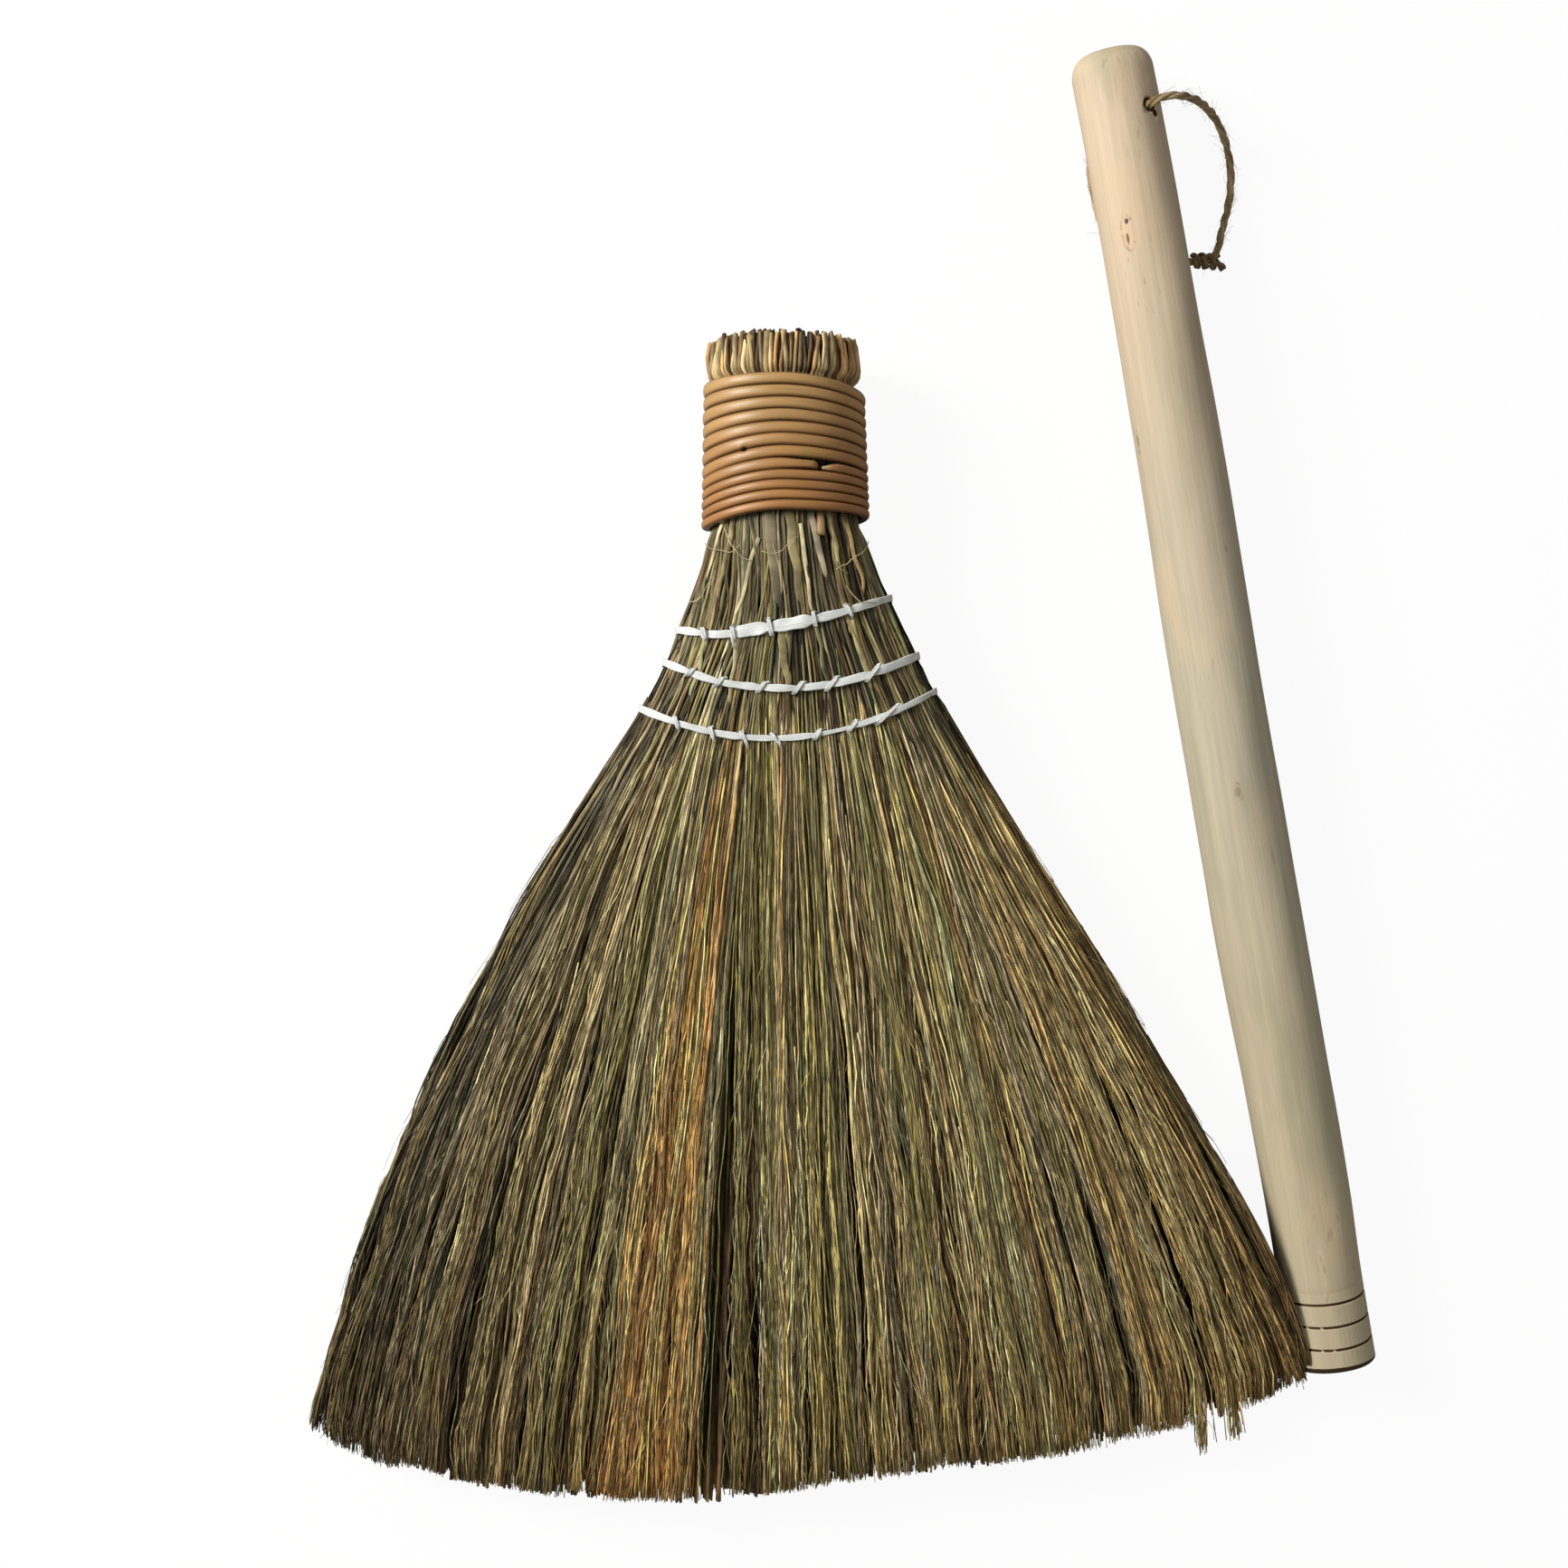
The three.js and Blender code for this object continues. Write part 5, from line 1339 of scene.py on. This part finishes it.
def openPartings(dice, x, t, share, face):
    if face != "top":
        return x
    ranges = [randomPartings[key] for key in ("across", "along", "halfLong", "halfWide")]
    more = [tuple(dice.uniform(*one) for one in ranges) for _ in range(randomPartings["count"])]
    for across, along, halfLong, halfWide in [*partings, *more]:
        apart = (share - across) * fan["tipHalf"] * (0.35 + 0.65 * t)
        opened = bell((t - along) / halfLong) * np.exp(-np.abs(apart) / partingReach) * (1 - share**8)
        x = x + np.sign(apart) * halfWide * opened
    return x


def clearStick(x, y, z, radii, face):  # the right corner's upper strands lie over the stick's foot
    slope = stickReach[0] / stickReach[1]
    axisX = stickFoot[0] + (y - stickFoot[1]) * slope
    away = (x - axisX) / math.hypot(1, slope)
    room = stick["plugRadius"] + 0.55 + radii
    if face != "top":
        side = np.sqrt(np.clip(room**2 - (z - stickFoot[2]) ** 2, 0, None))
        return np.minimum(x, axisX - side * math.hypot(1, slope)), z
    over = stickFoot[2] + np.sqrt(np.clip(room**2 - np.minimum(away, 0) ** 2, 0, None))
    need = np.where(away > -room, over - z, 0).max(axis=1, keepdims=True)
    at = np.linspace(0, 1, x.shape[1])[None]
    z = z + np.clip(need, 0, None) * ease(at, 0.35, 0.9)
    return x, np.where(away > -room, np.maximum(z, over), z)


def addStrands(name, lines, radii, tint, finish, dice):
    spin = dice.uniform(0, 2 * np.pi, len(lines))
    lengths = np.cumsum(np.full(lines.shape[:2], bristle["stepShown"]), axis=1)
    return addTubes(name, lines, radii, tint, lengths, bristle, finish, "head", spin)


def makeBristles(finish):
    dice = np.random.default_rng(bristle["seed"] + 9)
    for face in ("top", "under", "core"):
        lines, radii, tint, root = growBristles(face)
        quarter = np.clip(np.floor((root + 1) * 2), 0, 3)
        for number, name in enumerate(("left_outer", "left_inner", "right_inner", "right_outer")):
            mine = np.flatnonzero(quarter == number)
            if face != "top":
                addStrands(f"bristles_{face}_{name}", lines[mine], radii[mine], tint[mine], finish, dice)
                continue
            for part, some in ((1, mine[::2]), (2, mine[1::2])):
                full = f"bristles_top_{name}_{part}"
                piece = addStrands(full, lines[some], radii[some], tint[some], finish, dice)
                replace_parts(piece, f"bristle_bunch_{name}")
            addFuzz(f"fuzz_{name}", fuzz, lines[mine], tint[mine], finish, dice)
            addFuzz(f"hairs_{name}", hairs, lines[mine], tint[mine], finish, dice)


def addFuzz(name, look, lines, tint, finish, dice):
    count = int(len(lines) * look["share"])
    which = dice.integers(0, len(lines), count)
    step = dice.integers(look["fromStep"], lines.shape[1] - 2, count)
    ahead = unit(lines[which, step + 1] - lines[which, step - 1])
    side = np.cross(ahead, [0.0, 0.0, 1.0])
    splay = dice.normal(0, look["splay"], (count, 1))
    lift = dice.normal(0.01, look["rise"], (count, 1))
    away = unit(ahead + side * splay + np.array([0, 0, 1.0]) * lift)
    left = np.linalg.norm(lines[which, -1] - lines[which, step], axis=1, keepdims=True)
    long = np.minimum(dice.uniform(*look["length"], (count, 1)), left)
    t = np.linspace(0, 1, look["steps"])[None, :, None]
    curl = side * dice.normal(0, 0.1, (count, 1))
    branches = lines[which, step][:, None] + long[:, None] * (away[:, None] * t + curl[:, None] * t**2)
    x, y = branches[..., 0], branches[..., 1]
    branches[..., 0] = np.clip(x, edgeAt(y, -1), edgeAt(y, 1))
    radii = dice.uniform(*look["radius"], (count, 1)) * np.linspace(1, 0.6, look["steps"])
    shade = tint[which, step] * dice.uniform(*look["shade"], (count, 1))
    shades = np.repeat(np.clip(shade, *tintRange)[:, None], look["steps"], axis=1)
    return addStrands(name, branches, radii, shades, finish, dice)


fineStraw = strawFinish("fine_straw", 0.62, 5.5, 0.48)
makeBristles(fineStraw)


# Cane binding: two lengths wound one below the other, angles in degrees from +X over the top

cane = dict(
    clearance=0.5, height=2.4, stepsPerTurn=200, lowest=0.02,
    upper=dict(width=3.5, pitch=3.43, topY=116.5, startAngle=270.0, endAngle=62.0, wholeTurns=7, seed=41),
    lower=dict(width=2.93, pitch=2.87, topY=90.35, startAngle=63.0, endAngle=-150.0, wholeTurns=4, seed=42),
    tailWidth=2.5, tailHeight=1.3, tailRise=1.6, tailRiseFrom=(79, 73.5), tailShadeTo=(76, 78), tailBare=0.4,
    thinFrom=40.0, thinBy=0.3, diveFrom=9.5, diveTo=0.5, sunk=-1.2, bendRadius=3.4, footY=70.6,
    diveSteps=20, bendSteps=10, bendFrom=0.1, tailSteps=14, tailGap=0.6, startWidth=0.35, startHeight=0.5,
    startOver=(-4, 30), splinterOver=(-2, 8), splinterSunk=0.6, splinterDown=0.55, splinterBare=0.75,
    # down the binding, how far its left and its right side hang below its middle
    hangs=[(0, 0.35, 1.8), (22, 4.1, 0.8), (41, 3.7, -0.9)],
    top=linear(193, 151, 94), foot=linear(178, 124, 69), raw=linear(232, 206, 156), dirtAndShade=linear(92, 60, 29),
    # painted shade: the right side, away from the key light, darker and warmer
    rightShade=np.array([0.86, 0.74, 0.6]), rightShadeFrom=(0.35, 1.0),
    # marks: plan place, reach, depth, share of the colour and the colour
    # the first is painted shade in the nick, the second a painted highlight on its edge, the third a green
    # stain
    marks=[(-11.3, 95.15, 0.6, 2.4, 1.0, linear(30, 16, 6)),
           (-12.2, 96.2, 1.0, 0.0, 0.35, linear(236, 206, 158)),
           (6.8, 92.9, 2.4, 0.0, 0.45, linear(160, 136, 66))],
    dirtAndShadeEdge=(0.48, 1.0), dirtAndShadeShare=0.8, hangPower=1.7, tintTo=76.0,
)


def caneSection():  # flat inside, crowned outside
    turn = np.linspace(0, np.pi, 15)
    across = np.sign(np.cos(turn)) * np.abs(np.cos(turn)) ** 0.85
    crown = np.stack([across, np.sin(turn) ** 0.7 * 1.45 - 0.45], axis=1)
    return np.vstack([crown, [(-0.8, -1.0), (0.8, -1.0)]])


def caneHelix(piece):
    turns = piece["wholeTurns"] + (piece["startAngle"] - piece["endAngle"]) / 360
    gone = np.linspace(0, turns, int(turns * cane["stepsPerTurn"]))
    return piece["startAngle"] - 360 * gone, piece["topY"] - gone * piece["pitch"]


def hang(angle, y):
    down, left, right = np.array(cane["hangs"]).T
    gone = cane["upper"]["topY"] - y
    across = np.cos(np.radians(angle))
    onLeft, onRight = (np.clip(side * across, 0, 1) ** cane["hangPower"] for side in (-1, 1))
    return np.interp(gone, down, left) * onLeft + np.interp(gone, down, right) * onRight


def onNeck(angle, y, offset):
    turn = np.radians(angle)
    wide, high = headWide(y), headHigh(y)
    x = headX(y) + (wide + offset) * np.cos(turn)
    z = headZ(y) + (high + offset) * np.sin(turn)
    return xyz(x, y, z), unit(xyz(np.cos(turn) / wide, 0 * turn, np.sin(turn) / high))


def caneFinish():
    finish, shader = newFinish("peeled_cane", 0.42, 0.5)
    shader.inputs["Coat Weight"].default_value = 0.2
    shader.inputs["Coat Roughness"].default_value = 0.3
    run = attribute(finish, "run")
    fine = grained(finish, run, (0.035, 7.0, 3.1), 5.0, 0.65)
    blotch = grained(finish, run, (0.06, 1.2, 2.3), 3.0)
    colour = toned(finish, attribute(finish, "tint"), fine, 0.84, 1.14)
    colour = toned(finish, colour, blotch, 0.84, 1.12)
    plug(finish, colour, shader.inputs["Base Color"])
    plug(finish, span(finish, fine, 0.2, 0.8, 0.34, 0.5), shader.inputs["Roughness"])
    bump(finish, shader, fine, 0.0002, 0.35)
    return finish


def makeCane(name, piece, angle, y, offset, width, height, bare, dark, finish, replaced):
    dice = np.random.default_rng(piece["seed"])
    at = np.linspace(0, 1, len(angle))
    y = y + wobbleOne(dice, at, (9, 17), 0.05)
    offset = offset + wobbleOne(dice, at, (11, 23), 0.06)
    width = width * (1 + wobbleOne(dice, at, (6, 21), 0.018))
    width = width * (1 + hang(angle, y - 0.5) - hang(angle, y + 0.5))  # as wide as the turns lie apart
    y = y - hang(angle, y)
    centres, outward = onNeck(angle, y, offset)
    section = caneSection()
    points = sweep(centres, outward, width / 2, height / 2, section)
    run = ribbonRun(lengthsAlong(centres), section, piece["seed"])
    down = ease(y, cane["upper"]["topY"], cane["tintTo"])[:, None]
    tint = mix(cane["top"], cane["foot"], down) * (1 + wobbleOne(dice, at, (7, 19, 43), 0.08))[:, None]
    # bare cane where it is raw, then painted shade where the end runs under other turns
    tint = mix(mix(tint, cane["raw"], bare[:, None]), cane["dirtAndShade"] * 0.3, dark[:, None])
    # painted shade on the right side of the binding
    shadedRight = ease(np.cos(np.radians(angle)), *cane["rightShadeFrom"])[:, None]
    tint = tint * mix(1.0, cane["rightShade"], shadedRight)
    tint = np.repeat(tint[:, None], len(section), axis=1)
    # each turn darker towards its edges: partly dirt in the joints, partly painted shade between the turns
    edge = ease(np.abs(section[:, 0]), *cane["dirtAndShadeEdge"]) * cane["dirtAndShadeShare"]
    tint = mix(tint, cane["dirtAndShade"], edge[None, :, None])
    points, tint = markCane(points, tint)
    values = dict(tint=tint.reshape(-1, 3), run=run)
    made = addPiece(name, points, finish, "head", values, lowest=cane["lowest"])
    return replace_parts(made, replaced)


def markCane(points, tint):  # a nick with painted shade in it, a painted highlight on its edge, and a stain
    for x, y, reach, depth, share, colour in cane["marks"]:
        far = np.hypot(points[0, ..., 0] - x, points[0, ..., 1] - y)
        near = bell(far / reach) * (points[0, ..., 2] > headZ(y))
        points[0, ..., 2] -= depth * near
        tint = mix(tint, colour, share * ease(near, 0.1, 0.6)[..., None])
    return points, tint


def makeBinding():
    finish = caneFinish()
    upper = cane["upper"]
    angle, y = caneHelix(upper)
    onTop = cane["clearance"] + cane["height"] / 2
    endAngle, endY = angle[-1], y[-1]
    surface = angle > endAngle + cane["diveFrom"]
    angle, y = angle[surface], y[surface]
    # the end dives under the next turns, bends down the neck and comes out below them
    dive = np.linspace(cane["diveFrom"], cane["diveTo"], cane["diveSteps"])[1:]
    sunk = ease(-dive, -cane["diveFrom"], -cane["diveTo"])
    turned = np.linspace(cane["bendFrom"], np.pi / 2, cane["bendSteps"])
    bendY = endY + cane["diveTo"] / 360 * upper["pitch"]
    down = np.linspace(bendY - cane["bendRadius"] - cane["tailGap"], cane["footY"], cane["tailSteps"])
    bend = cane["diveTo"] * (1 - np.sin(turned))
    tailX = headX(down)[0] + (headWide(down)[0] + cane["sunk"]) * math.cos(math.radians(endAngle))
    tailAngle = np.degrees(np.arccos((tailX - headX(down)) / (headWide(down) + cane["sunk"])))
    angles = np.concatenate([angle, endAngle + dive, endAngle + bend, tailAngle])
    bendDown = bendY - cane["bendRadius"] * (1 - np.cos(turned))
    ys = np.concatenate([y, endY + dive / 360 * upper["pitch"], bendDown, down])
    share = np.concatenate([np.zeros(len(angle)), sunk, np.ones(len(bend) + len(down))])
    start = ease(np.arange(len(angles)), *cane["startOver"])
    narrowed = ease(-angles, -endAngle - cane["thinFrom"], -endAngle - cane["diveFrom"]) * (1 - share)
    width = mix(upper["width"] * (1 - cane["thinBy"] * narrowed), cane["tailWidth"], share)
    width = width * mix(cane["startWidth"], 1.0, start)
    height = mix(cane["height"], cane["tailHeight"], share) * mix(cane["startHeight"], 1.0, start)
    offset = mix(onTop, cane["sunk"], share) + cane["tailRise"] * share * ease(ys, *cane["tailRiseFrom"])
    # painted shade on the end where it runs under the turns, none on the stub below them
    dark = share * ease(ys, *cane["tailShadeTo"])
    bare = cane["tailBare"] * share * (1 - dark)
    makeCane("cane_upper", upper, angles, ys, offset, width, height, bare, dark, finish,
             "rattan_winding_upper")
    # the next length starts beside it in a bare splinter
    lower = cane["lower"]
    angle, y = caneHelix(lower)
    step = np.arange(len(angle))
    point, end = ease(step, *cane["splinterOver"]), ease(step[::-1], *cane["startOver"])
    width = lower["width"] * mix(0.3, 1, point) * mix(0.3, 1, end)
    height = cane["height"] * mix(0.5, 1, point) * mix(0.45, 1, end)
    offset = onTop - cane["splinterSunk"] * (1 - point)
    bare = cane["splinterBare"] * (1 - ease(step, 0.5, 5))
    y = y - cane["splinterDown"] * (1 - point)
    makeCane("cane_lower", lower, angle, y, offset, width, height, bare, 0 * bare, finish,
             "rattan_winding_lower")


makeBinding()


# The strips and laces of the sewing

def ribbonSection(crease):  # a thin folded ribbon, its upper face creased along its length
    x = np.linspace(1, -1, 9)
    top = 1 + crease * np.array([0, 0.9, 0.2, 1.3, 0.4, 1.5, 0.3, 0.8, 0])
    return np.vstack([np.stack([x, top], axis=1), np.stack([x[::-1], top[::-1] - 2], axis=1)])


def stripFinish():
    finish, shader = newFinish("white_strip", 0.42, 0.4)
    fine = grained(finish, attribute(finish, "run"), (0.12, 5.0, 2.0), 4.0, 0.6)
    colour = blend(finish, span(finish, fine, 0.35, 0.6), sewing["shade"], sewing["white"])
    colour = blend(finish, 1.0, colour, attribute(finish, "tint"), "MULTIPLY")
    plug(finish, colour, shader.inputs["Base Color"])
    bump(finish, shader, fine, 0.0005, 0.6)
    return finish


def addRibbon(name, points, gone, section, mark, tint, finish, closed=False):
    tint = np.repeat(tint, len(section))[:, None] * np.ones(3)
    values = dict(run=ribbonRun(gone, section, mark), tint=tint)
    return addPiece(name, points, finish, "head", values, closed=closed, lowest=sewing["lowest"])


def stripLoop(row):  # round the head on the row's curve, rounded at the sides and in even steps
    across = np.sin(np.linspace(-np.pi / 2, np.pi / 2, sewing["samples"]))
    x = across * 30
    for _ in range(8):
        y = rowY(row, x)
        x = headX(y) + across * (headWide(y) - sewing["drawnIn"])
    faces = [xyz(x, rowY(row, x), stripZ(x, rowY(row, x), side)) for side in (1, -1)]
    ring = np.vstack([faces[0], faces[1][::-1], faces[0][:1]])
    gone = lengthsAlong(ring)
    loop = placesAt(np.linspace(0, gone[-1], sewing["ringSteps"], endpoint=False), gone, ring)
    for _ in range(6):
        loop = loop * 0.5 + (np.roll(loop, 1, axis=0) + np.roll(loop, -1, axis=0)) * 0.25
    return loop


def makeStrip(number, row, finish):
    dice = np.random.default_rng(sewing["seed"] + number)
    loop = stripLoop(row)
    at = np.linspace(0, 1, len(loop), endpoint=False)

    def waves(*rates):
        return sum(np.sin(2 * np.pi * (rate * at + dice.uniform())) for rate in rates)

    ahead = unit(np.roll(loop, -1, axis=0) - np.roll(loop, 1, axis=0))
    outward = unit(np.cross(ahead, [0.0, 1.0, 0.0]))
    outward *= np.sign((outward * (loop - loop.mean(axis=0))).sum(axis=1))[:, None]
    near = np.zeros(len(loop))
    for x, _ in row["stitches"]:
        near = np.maximum(near, bell((loop[:, 0] - x) / sewing["stitchHalf"]))
    places, wide = np.array(row["widths"]).T
    sway = waves(9, 23)
    width = np.interp(loop[:, 0], places, wide) * (1 + sewing["widthSway"] * sway)
    width = width * (1 - sewing["pinch"] * near)
    roll = sewing["roll"] * waves(7, 19)
    side = np.cross(ahead, outward)
    tilted = unit(outward * np.cos(roll)[:, None] + side * np.sin(roll)[:, None])
    lift = sewing["stripLift"] - sewing["stitchSunk"] * near + sewing["liftSway"] * waves(13)
    section = ribbonSection(sewing["crease"])
    wrap = np.r_[-1, 0:len(loop), 0]
    centres = (loop + outward * lift[:, None])[wrap]
    thick = np.full(len(wrap), sewing["stripThick"] / 2)
    points = sweep(centres, tilted[wrap], width[wrap] / 2, thick, section)[:, 1:-1]
    # painted shade round each stitch, where the lace pinches the strip; lighter where the strip sways wider
    tint = np.clip(1 - sewing["stitchPaintedShade"] * near + sewing["swayShade"] * sway, 0, 1)
    name, gone = f"strip_{number}", lengthsAlong(loop)
    piece = addRibbon(name, points, gone, section, number, tint, finish, closed=True)
    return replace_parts(piece, f"stitch_strip_{number}")


def makeLace(number, row, finish):
    dice = np.random.default_rng(sewing["laceSeed"] + number)
    stops = []

    def stop(x, along, side, lift):
        reach = np.interp(x, *np.array(row["widths"]).T) / 2 + sewing["lacePast"]
        y = rowY(row, x) + along * reach
        stops.append(np.array([x, y, faceZ(x, y, side) + side * lift]))

    over = sewing["laceLift"]
    for x, lean in row["stitches"]:
        # over the strip in front, through the head, over the strip behind, and back through
        for share, along, lift in ((-1, 1, -2), (-1, 1, -0.1), (-0.5, 0.55, over),
                                   (0.5, -0.55, over), (1, -1, -0.1), (1, -1, -2)):
            stop(x + share * lean, along, 1, lift)
        for along, lift in ((-1, -2), (-1, -0.1), (-0.5, over), (0.5, over), (1, -0.1), (1, -2)):
            stop(x + lean, along, -1, lift)
    first, last = stops[0], stops[-1]
    buried = np.array([0, 0, sewing["laceBuried"]])
    line = smoothLine([first - buried, *stops, last + buried], sewing["laceStep"])
    ahead = unit(np.gradient(line, axis=0))
    across = unit(np.array([1.0, 0, 0]) - ahead * ahead[:, :1])
    at = np.linspace(0, 1, len(line))
    width = sewing["laceWidth"] * (1 + wobbleOne(dice, at, (17, 41), 0.13))
    section = ribbonSection(sewing["laceCrease"])
    thick = np.full(len(line), sewing["laceThick"] / 2)
    points = sweep(line, np.cross(across, ahead), width / 2, thick, section)
    tint = np.clip(1 + 0.03 * wobbleOne(dice, at, (30, 60), 1.0), 0, 1)
    name, gone, mark = f"lace_{number}", lengthsAlong(line), number + sewing["laceMark"]
    piece = addRibbon(name, points, gone, section, mark, tint, finish)
    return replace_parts(piece, f"stitch_lace_{number}")


def makeLaceEnd(name, row, x, drop, finish):  # a lace's short end, left lying on the straw
    steps = sewing["tailSteps"]
    t = np.linspace(0, 1, steps)
    endX = x - sewing["tailBack"] * (1 - t)
    endY = rowY(row, x) - sewing["tailStart"] + (drop + sewing["tailStart"]) * t
    hump = sewing["tailHump"] * (np.sin(np.pi * t) - t)
    line = xyz(endX, endY, faceZ(endX, endY, 1) + sewing["tailLift"] + hump)
    width = sewing["tailWidth"] * (1 - sewing["tailNarrows"] * t**2)
    section = ribbonSection(sewing["laceCrease"])
    thick = np.full(steps, sewing["tailThick"] / 2)
    points = sweep(line, np.tile(sewing["tailTilt"], (steps, 1)), width, thick, section)
    return addRibbon(name, points, lengthsAlong(line), section, x, np.ones(steps), finish)


whiteStrip = stripFinish()
for rowNumber, stitchRow in enumerate(stitchRows, start=1):
    makeStrip(rowNumber, stitchRow, whiteStrip)
    makeLace(rowNumber, stitchRow, whiteStrip)
    for endNumber, (endX, endDrop) in enumerate(stitchRow["ends"], start=1):
        makeLaceEnd(f"lace_{rowNumber}_end_{endNumber}", stitchRow, endX, endDrop, whiteStrip)
